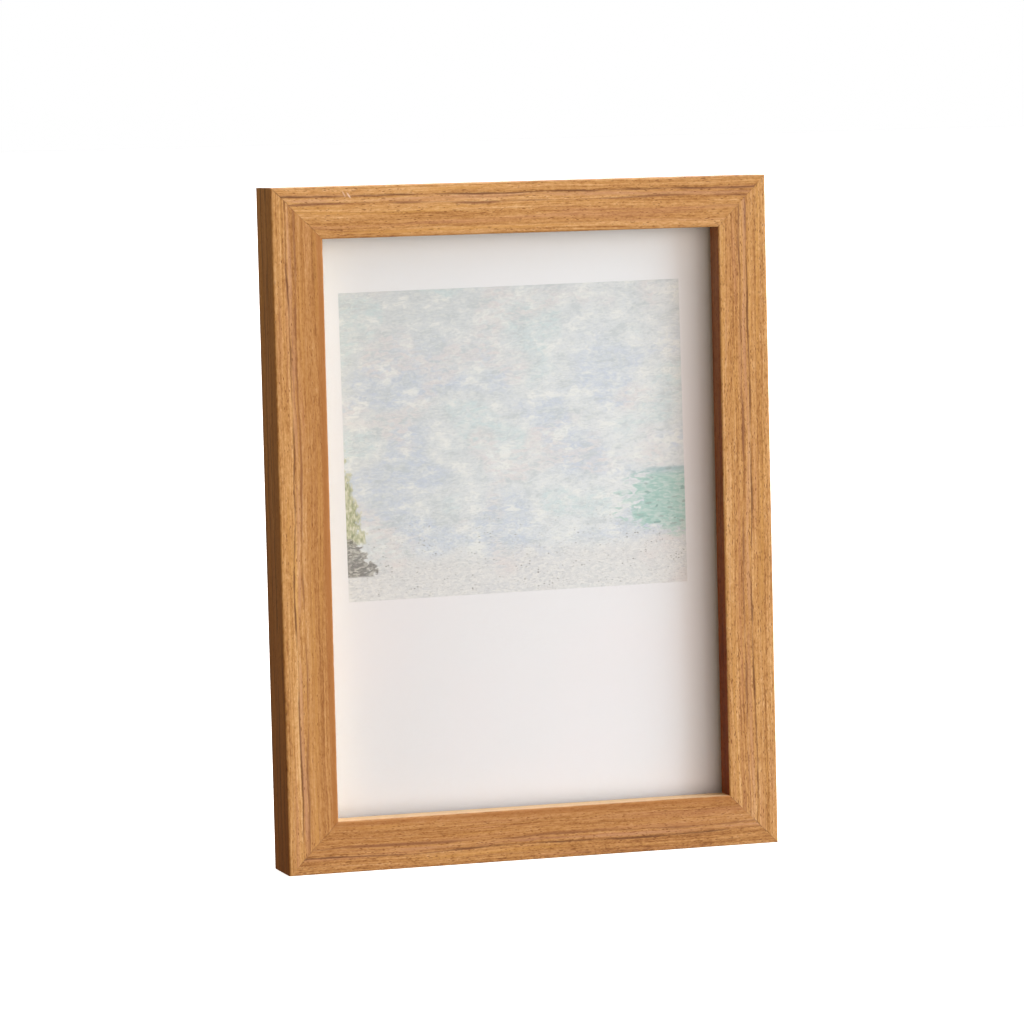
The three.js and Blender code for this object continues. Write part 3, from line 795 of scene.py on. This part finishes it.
def card_material():
    s = Shader("backing_card")
    place = s.place()
    fibre = s.noise(place, 1.2, detail=4, rough=0.65)
    fleck = s.noise(place, 3.5)
    colour = s.ramp(fibre, (0.3, (222, 216, 202)), (0.55, (231, 226, 214)), (0.75, (238, 234, 225)))
    colour = s.mix(s.between(fleck, 0.68, 0.76, 0, 0.5), colour, (176, 164, 142))
    return s.surface(colour, fibre * 0.1 + 0.84, s.bump(fibre, 0.04, 0.6))


def corrugated_material():
    s = Shader("corrugated_board")
    place = s.place()
    ply = s.field(s.split(place), (0.5, 0.8, 0.09), detail=3)
    fibre = s.noise(place, 2.6, detail=3, rough=0.65)
    colour = s.ramp(
        ply * 0.5 + fibre * 0.5, (0.35, (156, 118, 76)), (0.5, (181, 142, 96)), (0.65, (200, 162, 116)),
    )
    return s.surface(colour, fibre * 0.08 + 0.88, s.bump(fibre, 0.06, 0.7))


def hardboard_material():
    """Pressed wood fibre: mottled brown with short fibres, and paler where it is cut."""
    s = Shader("hardboard")
    place = s.place()
    x, y, z = s.split(place)
    cloud = s.noise(place, 0.05, detail=3)
    chip = s.field((x, y, z), (1.3, 1.3, 0.7), detail=4, rough=0.7, distortion=1.5)
    fine = s.noise(place, 3.2, detail=3, rough=0.7)
    distance, (chance, _, _) = s.cells(x * 0.9, y * 0.9, z * 0.35)
    fleck = s.between(distance, 0.2, 0.08) * s.between(chance, 0.72, 0.78)
    faces_back = abs(s.split(s.value("ShaderNodeTexCoord", output="Normal"))[1])
    colour = s.over(
        s.ramp(
            cloud * 0.25 + chip * 0.45 + fine * 0.3,
            (0.38, (82, 54, 35)), (0.47, (108, 75, 49)), (0.55, (132, 96, 65)), (0.65, (166, 128, 92)),
        ),
        (fleck * 0.5, (176, 138, 98)),
        (s.between(faces_back, 0.9, 0.3, 0, 0.7), (178, 140, 100)),
    )
    return s.surface(colour, fine * 0.2 + 0.5, s.bump(chip * 0.5 + fine * 0.5, 0.05, 0.6))


def steel_material(name, base, dark, roughness, relief):
    s = Shader(name)
    place = s.place()
    axes = s.split(place)
    brushed = s.field(axes, (0.6, 5.0, 5.0), detail=3, rough=0.6)
    stain = s.noise(place, 0.5, detail=3, rough=0.6)
    scratch = s.field(axes, (7.0, 7.0, 0.8))
    colour = s.over(base, (s.between(stain, 0.48, 0.80, 0, 0.6), dark), (s.between(scratch, 0.62, 0.72, 0, 0.3), dark))
    rough = brushed * 0.16 + (roughness - 0.08) + s.between(stain, 0.5, 0.8, 0, 0.12)
    height = brushed * 0.5 + scratch * 0.3 + stain * 0.2
    return s.surface(colour, rough, s.bump(height, relief, 0.5), Metallic=1.0)


SLOTS = {
    "oak": oak_material(),
    "print": print_material(),
    "glass": glass_material(),
    "card": card_material(),
    "corrugated": corrugated_material(),
    "hardboard": hardboard_material(),
    "nickel_steel": steel_material("nickel_steel", (214, 212, 207), (176, 172, 164), 0.27, 0.02),
}
NAIL_STEEL = steel_material("nail_steel", (168, 168, 170), (120, 116, 112), 0.42, 0.05)


# ---- rails ----

# Corner where a rail starts, direction inward from its outer face, direction along it, its length, how far
# its growth layers are shifted, its pores, stain and painted edge shade (pore density, depth of stain, painted
# shade on the inner edge), and how deep the stain and painted shade are on its outer side at its start and its
# end, and on its lip's inner wall likewise: the left side's darker lower end and the right rail's darker lip wall
# are painted shade. Below zero is a painted paler tone that stands for light on the lit lip walls.
SIDES = {
    "left": ((-HALF_W, 0), (1, 0), (0, 1), OUTER_H, 0.2, (0.35, 0.03, 1.0), (0.70, 0.10, -1.0, -1.0)),
    "top": ((-HALF_W, OUTER_H), (0, -1), (1, 0), OUTER_W, 1.2, (0.62, 0.06, 0.0), (0.10, 0.10, -0.8, -0.8)),
    "right": ((HALF_W, OUTER_H), (-1, 0), (0, -1), OUTER_H, -2.1, (0.95, 0.05, 0.0), (0.20, 0.30, 0.56, 1.1)),
    "bottom": ((HALF_W, 0), (0, 1), (-1, 0), OUTER_W, -0.2, (1.0, 0.16, 0.70), (0.15, 0.15, -0.5, -0.5)),
}
BUTTON_SIDES = ("left", "right")
# On these two rails the lip wall's painted tone, shade on the right and a paler lit tone on the bottom, reaches the
# inner arris.
PAINTED_TONE_LIP_EDGE = ("right", "bottom")    # the other two keep the face's colour on the inner arris
STATION_STEP = 1.6
ARC_STEPS = 6
WEAR_REACH = 1.0
RUB_DEPTH = 0.16
ATTRIBUTES = {"grain": "FLOAT_VECTOR", "mitre": "FLOAT_VECTOR", "figure_and_edge_shade": "FLOAT_VECTOR", "side_stain_and_painted_light": "FLOAT"}


def side_matrix(side):
    (x, z), inward, along = SIDES[side][:3]
    return basis((inward[0], 0, inward[1]), (0, 1, 0), (along[0], 0, along[1]), (x, FRONT, z))


def rail_section():
    """The moulding's outline as (inward, depth)."""
    outline = arc(ARRIS, ARRIS, ARRIS, 180, 270, ARC_STEPS)
    outline += [(ARRIS + (FACE - 2 * ARRIS) * i / 8, 0) for i in range(1, 8)]
    outline += arc(FACE - ARRIS, ARRIS, ARRIS, 270, 360, ARC_STEPS)
    outline += [(FACE, 2.5), (FACE, 5.0), (FACE, LIP_DEPTH - 0.15), (FACE - 0.15, LIP_DEPTH)]
    outline += [(WALL, LIP_DEPTH), (WALL, DEPTH - 0.2), (WALL - 0.2, DEPTH)]
    outline += [(BACK_ARRIS, DEPTH), (0, DEPTH - BACK_ARRIS)]
    outline += [(0, DEPTH * (1 - i / 6)) for i in range(1, 6)]
    return outline


def worn(u, v, w, index):
    """Moves a point on a front arris inward a little, unevenly along the rail: a long rub and a few dents."""
    from_outer = hypot(u, v)
    from_inner = hypot(FACE - u, v)
    distance = min(from_outer, from_inner)
    if distance > WEAR_REACH:
        return u, v
    rub = max(0.0, noise.noise(Vector((w * 0.11, index * 9.7, distance * 0.2))))
    dent = max(0.0, noise.noise(Vector((w * 0.45, index * 4.1 + 50, 0))) - 0.32) * 0.5
    amount = (RUB_DEPTH * rub + dent) * max(0.0, WEAR_REACH - distance) * 0.7
    inward = 1 if from_outer < from_inner else -1
    return u + inward * amount, v + amount


def rail_blank(length, index):
    stations = round(length / STATION_STEP)
    loops = []
    for k in range(stations + 1):
        loop = []
        for u, v in rail_section():
            start = u + SETBACK
            w = start + k / stations * (length - 2 * start)
            loop.append((*worn(u, v, w, index), w))
        loops.append(loop)
    return swept(loops)


def chevron(apex, leg, thickness):
    """V outline astride the mitre at the corner (0, 0), as (inward, along)."""
    c = cos(NAIL_HALF_ANGLE)
    s = sin(NAIL_HALF_ANGLE)
    root = sqrt(0.5)
    tip = apex + leg * c
    outer = (tip + thickness * s, leg * s - thickness * c)
    corners = (
        (apex, 0), (tip, -leg * s), (outer[0], -outer[1]), (apex + thickness / s, 0), outer, (tip, leg * s),
    )
    return [((forward - aside) * root, (forward + aside) * root) for forward, aside in corners]


def rail_cutters(length, side):
    """The slots of the V-nails at both ends, and the holes of the turn buttons' screws."""
    cutters = []
    beyond = DEPTH + 1
    floor = DEPTH - NAIL_LENGTH - CLEARANCE
    for apex in NAIL_APEX:
        outline = chevron(
            apex - CLEARANCE / sin(NAIL_HALF_ANGLE), NAIL_LEG + 2 * CLEARANCE, NAIL_T + 2 * CLEARANCE,
        )
        cutters.append(prism(outline, floor, beyond))
        cutters.append(prism([(x, length - z) for x, z in outline], floor, beyond))
    if side in BUTTON_SIDES:
        for station in BUTTON_HEIGHTS.values():
            cutters.append(prism(circle(WALL / 2, station, SCREW_R + CLEARANCE), DEPTH - SCREW_LENGTH + 1, beyond))
    return gathered(cutters)


def make_rails():
    for index, (side, settings) in enumerate(SIDES.items()):
        length, layer_shift, figure_and_edge_shade, side_stain_and_painted_light = settings[3:]
        mesh = boolean(rail_blank(length, index), rail_cutters(length, side))
        lip_from = 0.0 if side in PAINTED_TONE_LIP_EDGE else ARRIS + 0.1
        for name, kind in ATTRIBUTES.items():
            mesh.attributes.new(name, kind, "POINT")
        grain, mitre, look, sides = (mesh.attributes[name].data for name in ATTRIBUTES)
        for i, vertex in enumerate(mesh.vertices):
            u, v, w = vertex.co
            grain[i].vector = (u, v, w + RAIL_SPACING * index)
            mitre[i].vector = (w - u, length - w - u, layer_shift)
            look[i].vector = figure_and_edge_shade
            start, end = (0, 0)
            if u < 0.3:
                start, end = side_stain_and_painted_light[:2]
            elif u > FACE - ARRIS and lip_from <= v < LIP_DEPTH - 0.1:
                start, end = side_stain_and_painted_light[2:]
            sides[i].value = start + (end - start) * w / length
        finish_piece(f"oak_{side}", mesh, side_matrix(side), f"rail_{side}", slot="oak")


# ---- the pack behind the lip ----

UPRIGHT = basis((1, 0, 0), (0, 0, 1), (0, -1, 0))
LINER_T = 0.28
FLUTE_PITCH = 6.2
FLUTE_STEPS = 320
FLUTE_T = 0.26


def make_sheet(name, node, slot, edge, corner=0.4):
    low, high = box_mm(node)
    mesh = plate(rounded_box(low.x, low.z, high.x, high.z, corner, 4), [], -high.y, -low.y, edge)
    finish_piece(name, mesh, UPRIGHT, node, slot=slot)


def make_corrugated():
    """Two liners with a fluted sheet between them, its flutes upright."""
    low, high = box_mm("filler_board")
    reach = (high.y - low.y) / 2 - LINER_T - FLUTE_T / 2 + 0.02
    wave = []
    for i in range(FLUTE_STEPS + 1):
        along = (high.x - low.x) * i / FLUTE_STEPS
        y = (low.y + high.y) / 2 + reach * cos(2 * pi * along / FLUTE_PITCH)
        wave.append((low.x + along, y))
    outline = [(x, y - FLUTE_T / 2) for x, y in wave] + [(x, y + FLUTE_T / 2) for x, y in reversed(wave)]
    mesh = swept([[(x, y, z) for x, y in outline] for z in (low.z, high.z)])
    for y in (low.y, high.y - LINER_T):
        liner = prism([(low.x, low.z), (high.x, low.z), (high.x, high.z), (low.x, high.z)], y, y + LINER_T)
        mesh = boolean(mesh, liner, "UNION")
    finish_piece("fluted_board", mesh, Matrix.Identity(4), "filler_board", slot="corrugated")


# ---- the back: X to the viewer's right seen from behind, Y up from the middle, Z out of the back ----

BACK = basis((-1, 0, 0), (0, 0, 1), (0, 1, 0), (0, BOARD_HIGH.y, MIDDLE))
ALONG_X = Matrix.Rotation(pi / 2, 4, "Y")
HANGERS = {
    "portrait": shift(0, 84.0),
    "landscape": shift(59.0, 0) @ Matrix.Rotation(-pi / 2, 4, "Z"),
}


def rivet_hole(x, y, tail, top):
    """The tool that cuts a rivet's hole, flared at its tail."""
    hole = RIVET_R + CLEARANCE
    flare = RIVET_TAIL_R + CLEARANCE
    low = tail - 1
    high = top + 1
    profile = [(0, low), (flare, low), (flare, tail), (hole, tail + RIVET_FLARE), (hole, high), (0, high)]
    return moved(lathe(profile, 32), shift(x, y))


def make_rivet(name, x, y, tail, seat, body, matrix=Matrix.Identity(4)):
    mesh = lathe([
        (0, tail), (RIVET_TAIL_R - 0.1, tail), (RIVET_TAIL_R, tail + 0.05), (RIVET_R, tail + RIVET_FLARE),
        (RIVET_R, seat), (RIVET_HEAD_R - 0.08, seat), (RIVET_HEAD_R, seat + 0.08),
        *dome(RIVET_HEAD_R, RIVET_HEAD_H, seat, 10),
    ], 40)
    finish_piece(f"dome_{name}", mesh, BACK @ matrix @ shift(x, y), name, body)


def both(spot):
    """A spot (x, y) to the right of the middle, and the one as far to the left."""
    x, y = spot
    return ((-x, y), (x, y))


def leaf_holes(spots):
    return [circle(x, y, RIVET_R + CLEARANCE) for x, y in spots]


def with_knuckle(leaf, x, width, y=PIN_Z, z=PIN_OUT, outer=KNUCKLE_R, inner=KNUCKLE_BORE):
    """A leaf with a tube along X joined to it, and the tube's bore cut clear."""
    place = shift(x, y, z) @ ALONG_X
    end = width / 2 + 0.1
    core = lathe([(0, -end), (inner, -end), (inner, end), (0, end)], 40)
    leaf = boolean(leaf, moved(core, place))
    return boolean(leaf, moved(tube(outer, inner, width), place), "UNION")


def make_backboard():
    half_w = BOARD_HIGH.x
    half_h = BOARD_HIGH.z - MIDDLE
    mesh = plate(rounded_box(-half_w, -half_h, half_w, half_h, 0.6, 4), [], -BOARD_T, 0, 0.2)
    spots = list(both(HINGE_RIVET))
    for place in HANGERS.values():
        spots.append((place @ Vector((0, -STRAP_RIVET, 0))).xy)
    mesh = boolean(mesh, gathered(rivet_hole(x, y, -BOARD_T, 0) for x, y in spots))
    finish_piece("board_panel", mesh, BACK, "backboard", slot="hardboard")


def make_hinge():
    """The fixed leaf, and the pin through both leaves."""
    half = PLATE_W / 2
    top = PIN_Z + PLATE_H
    notch = MIDDLE_KNUCKLE / 2 + KNUCKLE_GAP
    notch_top = PIN_Z + KNUCKLE_R + 2 * KNUCKLE_GAP
    right = [(notch, notch_top), (notch, PIN_Z), (half, PIN_Z)]
    right += arc(half - LEAF_CORNER, top - LEAF_CORNER, LEAF_CORNER, 0, 90, 8)
    leaf = plate(mirrored(right), leaf_holes(both(HINGE_RIVET)), PLATE_LIFT, PLATE_LIFT + PLATE_T, 0.12)
    for sign in (-1, 1):
        leaf = with_knuckle(leaf, sign * (half + notch) / 2, half - notch)
    finish_piece("hinge_leaf", leaf, BACK, "hinge_plate")

    end = PIN_HIGH.x
    pin = lathe([
        (0, -end), (PIN_R - 0.2, -end), (PIN_R, 0.2 - end), (PIN_R, end - 0.2), (PIN_R - 0.2, end), (0, end),
    ], 32)
    finish_piece("hinge_rod", pin, BACK @ shift(0, PIN_Z, PIN_OUT) @ ALONG_X, "hinge_pin")


def make_strut():
    """The moving leaf with the heel that stops it, and the leg."""
    neck = MIDDLE_KNUCKLE / 2
    half = STRUT_PLATE_W / 2
    shoulder = PIN_Z - KNUCKLE_R - 2 * KNUCKLE_GAP
    foot = PIN_Z - STRUT_PLATE_H
    right = arc(half - LEAF_CORNER, foot + LEAF_CORNER, LEAF_CORNER, 270, 360, 8)
    right += [(half, shoulder), (neck, shoulder), (neck, PIN_Z)]
    leaf = plate(mirrored(right), leaf_holes(both(STRUT_RIVET)), STRUT_PLATE_Z, STRUT_PLATE_Z + STRUT_PLATE_T, 0.12)
    start = KNUCKLE_BORE + CLEARANCE
    heel_outline = [(-neck, start), (neck, start), (neck, HEEL_LENGTH), (-neck, HEEL_LENGTH)]
    heel = plate(heel_outline, [], HEEL_OFFSET, HEEL_OFFSET + HEEL_T, 0.15)
    moved(heel, shift(0, PIN_Z, PIN_OUT) @ Matrix.Rotation(STRUT_OPEN, 4, "X"))
    leaf = with_knuckle(boolean(leaf, heel, "UNION"), 0, MIDDLE_KNUCKLE)
    finish_piece("strut_leaf", leaf, BACK, "strut_plate", "strut")

    top_half = STRUT_TOP_W / 2
    foot_half = STRUT_FOOT_W / 2
    outline = rounded([
        (-top_half, STRUT_TOP, 2), (-foot_half, STRUT_FOOT, 5), (foot_half, STRUT_FOOT, 5), (top_half, STRUT_TOP, 2),
    ], 10)
    board = plate(outline, [], STRUT_LIFT, STRUT_LIFT + STRUT_T, 0.25)
    holes = (rivet_hole(x, y, STRUT_LIFT, STRUT_LIFT + STRUT_T) for x, y in both(STRUT_RIVET))
    board = boolean(board, gathered(holes))
    finish_piece("strut_leg", board, BACK, "easel_strut", "strut", "hardboard")


def make_hinge_rivets():
    board_seat = PLATE_LIFT + PLATE_T + CLEARANCE / 2
    strut_seat = STRUT_PLATE_Z + STRUT_PLATE_T
    for side, sign in (("left", 1), ("right", -1)):
        make_rivet(f"hinge_rivet_{side}", sign * HINGE_RIVET[0], HINGE_RIVET[1], -BOARD_T, board_seat, "frame")
        make_rivet(f"strut_rivet_{side}", sign * STRUT_RIVET[0], STRUT_RIVET[1], STRUT_LIFT, strut_seat, "strut")


def ring_path():
    near = RING_HALF_W - RING_BEND
    split = RING_SPLIT / 2
    half = [(split + (near - split) * i / 6, 0) for i in range(6)]
    half += arc(near, -RING_BEND, RING_BEND, 90, 0, 8)
    half += [(RING_HALF_W, -RING_BEND + (RING_BEND - RING_LEG) * i / 5) for i in range(1, 5)]
    return half + arc(0, -RING_LEG, RING_HALF_W, 0, -180, 36) + [(-x, y) for x, y in reversed(half)]


def make_hangers():
    half = STRAP_W / 2
    outline = rounded([(-half, 0, 0.3), (-half, -STRAP_LENGTH, 2), (half, -STRAP_LENGTH, 2), (half, 0, 0.3)], 8)
    for label, place in HANGERS.items():
        strap = plate(outline, leaf_holes([(0, -STRAP_RIVET)]), PLATE_LIFT, PLATE_LIFT + STRAP_T, 0.12)
        strap = with_knuckle(strap, 0, STRAP_W, 0, LOOP_OUT, STRAP_LOOP_R, STRAP_BORE)
        finish_piece(f"strap_{label}", strap, BACK @ place, f"hanger_strap_{label}")
        ring = wire(ring_path(), RING_R)
        finish_piece(
            f"ring_{label}", ring, BACK @ place @ shift(0, 0, LOOP_OUT), f"hanger_ring_{label}", f"ring_{label}",
        )
        seat = PLATE_LIFT + STRAP_T + CLEARANCE / 2
        make_rivet(f"hanger_rivet_{label}", 0, -STRAP_RIVET, -BOARD_T, seat, "frame", place)


def make_screw(seat):
    """A wood screw with a cross recess, its head on the seat."""
    point = seat - SCREW_LENGTH
    profile = [(0, point)]
    steps = 56
    for i in range(1, steps + 1):
        up = (SCREW_LENGTH - SCREW_NECK) * i / steps
        profile.append((min(SCREW_R, 0.12 + SCREW_R * up / SCREW_TIP) - THREAD_H - 0.01, point + up))
    profile += [
        (SCREW_R - 0.05, seat - SCREW_NECK + 0.1), (SCREW_R - 0.05, seat), (SCREW_HEAD_R - 0.1, seat),
        (SCREW_HEAD_R, seat + 0.1), *dome(SCREW_HEAD_R, SCREW_HEAD_H, seat, 8),
    ]

    def thread(angle, height):
        if height > seat - SCREW_NECK:
            return 0.0
        phase = (height / SCREW_PITCH - angle / (2 * pi)) % 1.0
        return THREAD_H * max(0.0, 1 - abs(phase - 0.5) / 0.28)

    arms = []
    for turn in (0, pi / 2):
        top = seat + SCREW_HEAD_H
        arm = plate(rounded_box(-1.5, -0.35, 1.5, 0.35, 0.2, 3), [], top - CROSS_DEPTH, top + 1, 0.1, 2)
        arms.append(moved(arm, Matrix.Rotation(turn, 4, "Z")))
    return boolean(lathe(profile, 48, thread), boolean(*arms, "UNION"))


def make_button(side, level):
    label = f"{side}_{level}"
    z = BUTTON_HEIGHTS[level]
    toward = 1 if side == "left" else -1
    # Local X towards the middle of the frame, local Z out of the back.
    place = basis((toward, 0, 0), (0, 0, -toward), (0, 1, 0), (toward * (WALL / 2 - HALF_W), FRONT + DEPTH, z))
    lean = degrees(acos((BUTTON_HEEL_R - BUTTON_TIP_R) / BUTTON_REACH))
    outline = arc(0, 0, BUTTON_HEEL_R, lean, 360 - lean, 40) + arc(BUTTON_REACH, 0, BUTTON_TIP_R, -lean, lean, 28)
    mesh = plate(outline, [circle(0, 0, BUTTON_HOLE_R, 36)], CLEARANCE, CLEARANCE + BUTTON_T, 0.22, 4)
    finish_piece(f"swivel_{label}", mesh, place, f"turn_button_{label}", f"button_{label}")
    driven = place @ Matrix.Rotation(radians(23 + z), 4, "Z")
    screw = make_screw(BUTTON_T + 2 * CLEARANCE)
    finish_piece(f"screw_{label}", screw, driven, f"button_screw_{label}")


def finish_nails():
    """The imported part's own V-nails are shown, in steel."""
    for name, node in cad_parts.items():
        if name.startswith("corner_nail_"):
            node.data.materials.clear()
            node.data.materials.append(NAIL_STEEL)


make_rails()
make_sheet("glass_sheet", "glass_pane", "glass", 0.25, 0.8)
make_sheet("print_sheet", "art_print", "print", 0.04, 0.2)
make_sheet("card_sheet", "backing_card", "card", 0.08)
make_corrugated()
make_backboard()
make_hinge()
make_strut()
make_hinge_rivets()
make_hangers()
for level in BUTTON_HEIGHTS:
    for side in BUTTON_SIDES:
        make_button(side, level)
finish_nails()


# ---- floor, light and camera ----

FLOOR_GLOW = 0.85
FLOOR_REACH = 60.0         # metres

# The side the room's light comes from, and its light from the dim side to the bright one.
ROOM_BRIGHT_SIDE = (0.65, -0.45, 0.6)
ROOM_LIGHT = ((0.25, (151.1, 126.9, 92.0)), (0.9, (161.7, 151.1, 139.4)))

COOL = (0.975, 0.98, 1.0)

# Each lamp: how far to the right of the frame's front and how high it stands, in degrees, its strength, how
# wide it looks and its colour. The lamp behind lights only the back and the right side.
LAMPS = {
    "key": (24, 3, 1.20, 62, (1.11, 0.99, 0.95)),
    "window": (64, 5, 1.95, 44, (0.80, 1.0, 1.13)),
    "table": (10, -34, 0.26, 70, (1.03, 1.0, 0.97)),
    "overhead": (70, 48, 1.80, 56, COOL),
    "top": (60, 72, 0.95, 30, COOL),
    "behind": (150, 24, 2.40, 66, COOL),
}

# The photo's view: 17 degrees to the left of the frame's front and 4.6 above it.
CAMERA_PLACE = (-0.430376, -1.402291, 0.221964)
CAMERA_TURN = (85.4316, 1.3936, -17.0938)
CAMERA_LENS = 170.588


def floor_material():
    s = Shader("studio_floor")
    grain = s.noise(s.place(), 0.02, detail=3)
    colour = s.mix(s.between(grain, 0.3, 0.7), (243, 242, 240), (240, 239, 237))
    glow = {"Emission_Color": WHITE, "Emission_Strength": FLOOR_GLOW}
    return s.surface(colour, grain * 0.1 + 0.7, s.bump(grain, 0.1, 0.1), **glow)


def make_floor():
    mesh = bpy.data.meshes.new("floor")
    corners = [(x * FLOOR_REACH, y * FLOOR_REACH, 0) for x, y in ((-1, -1), (1, -1), (1, 1), (-1, 1))]
    mesh.from_pydata(corners, [], [(0, 1, 2, 3)])
    mesh.materials.append(floor_material())
    floor = shown("floor", mesh)
    floor.visible_diffuse = False
    floor.visible_glossy = False
    floor.visible_shadow = False


def make_world():
    """White behind everything, and a soft room of light: bright to the front right, dim behind and to the left."""
    world = bpy.data.worlds.new("studio")
    scene.world = world
    s = Shader("studio", world, "ShaderNodeOutputWorld")
    view = s.value("ShaderNodeTexCoord", output="Generated")
    bright = Vector(ROOM_BRIGHT_SIDE).normalized()
    toward = s.value("ShaderNodeVectorMath", {0: view, 1: bright}, "Value", operation="DOT_PRODUCT")
    room = s.ramp(s.between(toward, -1, 1, kind="LINEAR"), *ROOM_LIGHT)
    lit, seen = (s.value("ShaderNodeBackground", {"Color": light}) for light in (room, WHITE))
    camera_ray = s.value("ShaderNodeLightPath", output="Is Camera Ray")
    s.finish(s.value("ShaderNodeMixShader", enumerate((camera_ray, lit, seen))))


def make_lamp(name, azimuth, elevation, strength, width, colour):
    azimuth = radians(azimuth)
    elevation = radians(elevation)
    light = bpy.data.lights.new(name, "SUN")
    light.energy = strength
    light.angle = radians(width)
    light.color = colour
    lamp = shown(name, light)
    level = cos(elevation)
    direction = Vector((sin(azimuth) * level, -cos(azimuth) * level, sin(elevation)))
    lamp.rotation_euler = direction.to_track_quat("Z", "Y").to_euler()
    lamp.location = direction * 2
    lamp.visible_glossy = name == "behind"


def make_camera():
    camera_data = bpy.data.cameras.new("camera")
    camera_data.sensor_width = 36.0
    camera_data.lens = CAMERA_LENS
    camera_data.clip_end = 100
    camera = shown("camera", camera_data)
    camera.location = CAMERA_PLACE
    camera.rotation_euler = [radians(angle) for angle in CAMERA_TURN]
    scene.camera = camera


make_floor()
make_world()
for name, settings in LAMPS.items():
    make_lamp(name, *settings)
make_camera()
scene.view_settings.view_transform = "Standard"
scene.view_settings.look = "None"
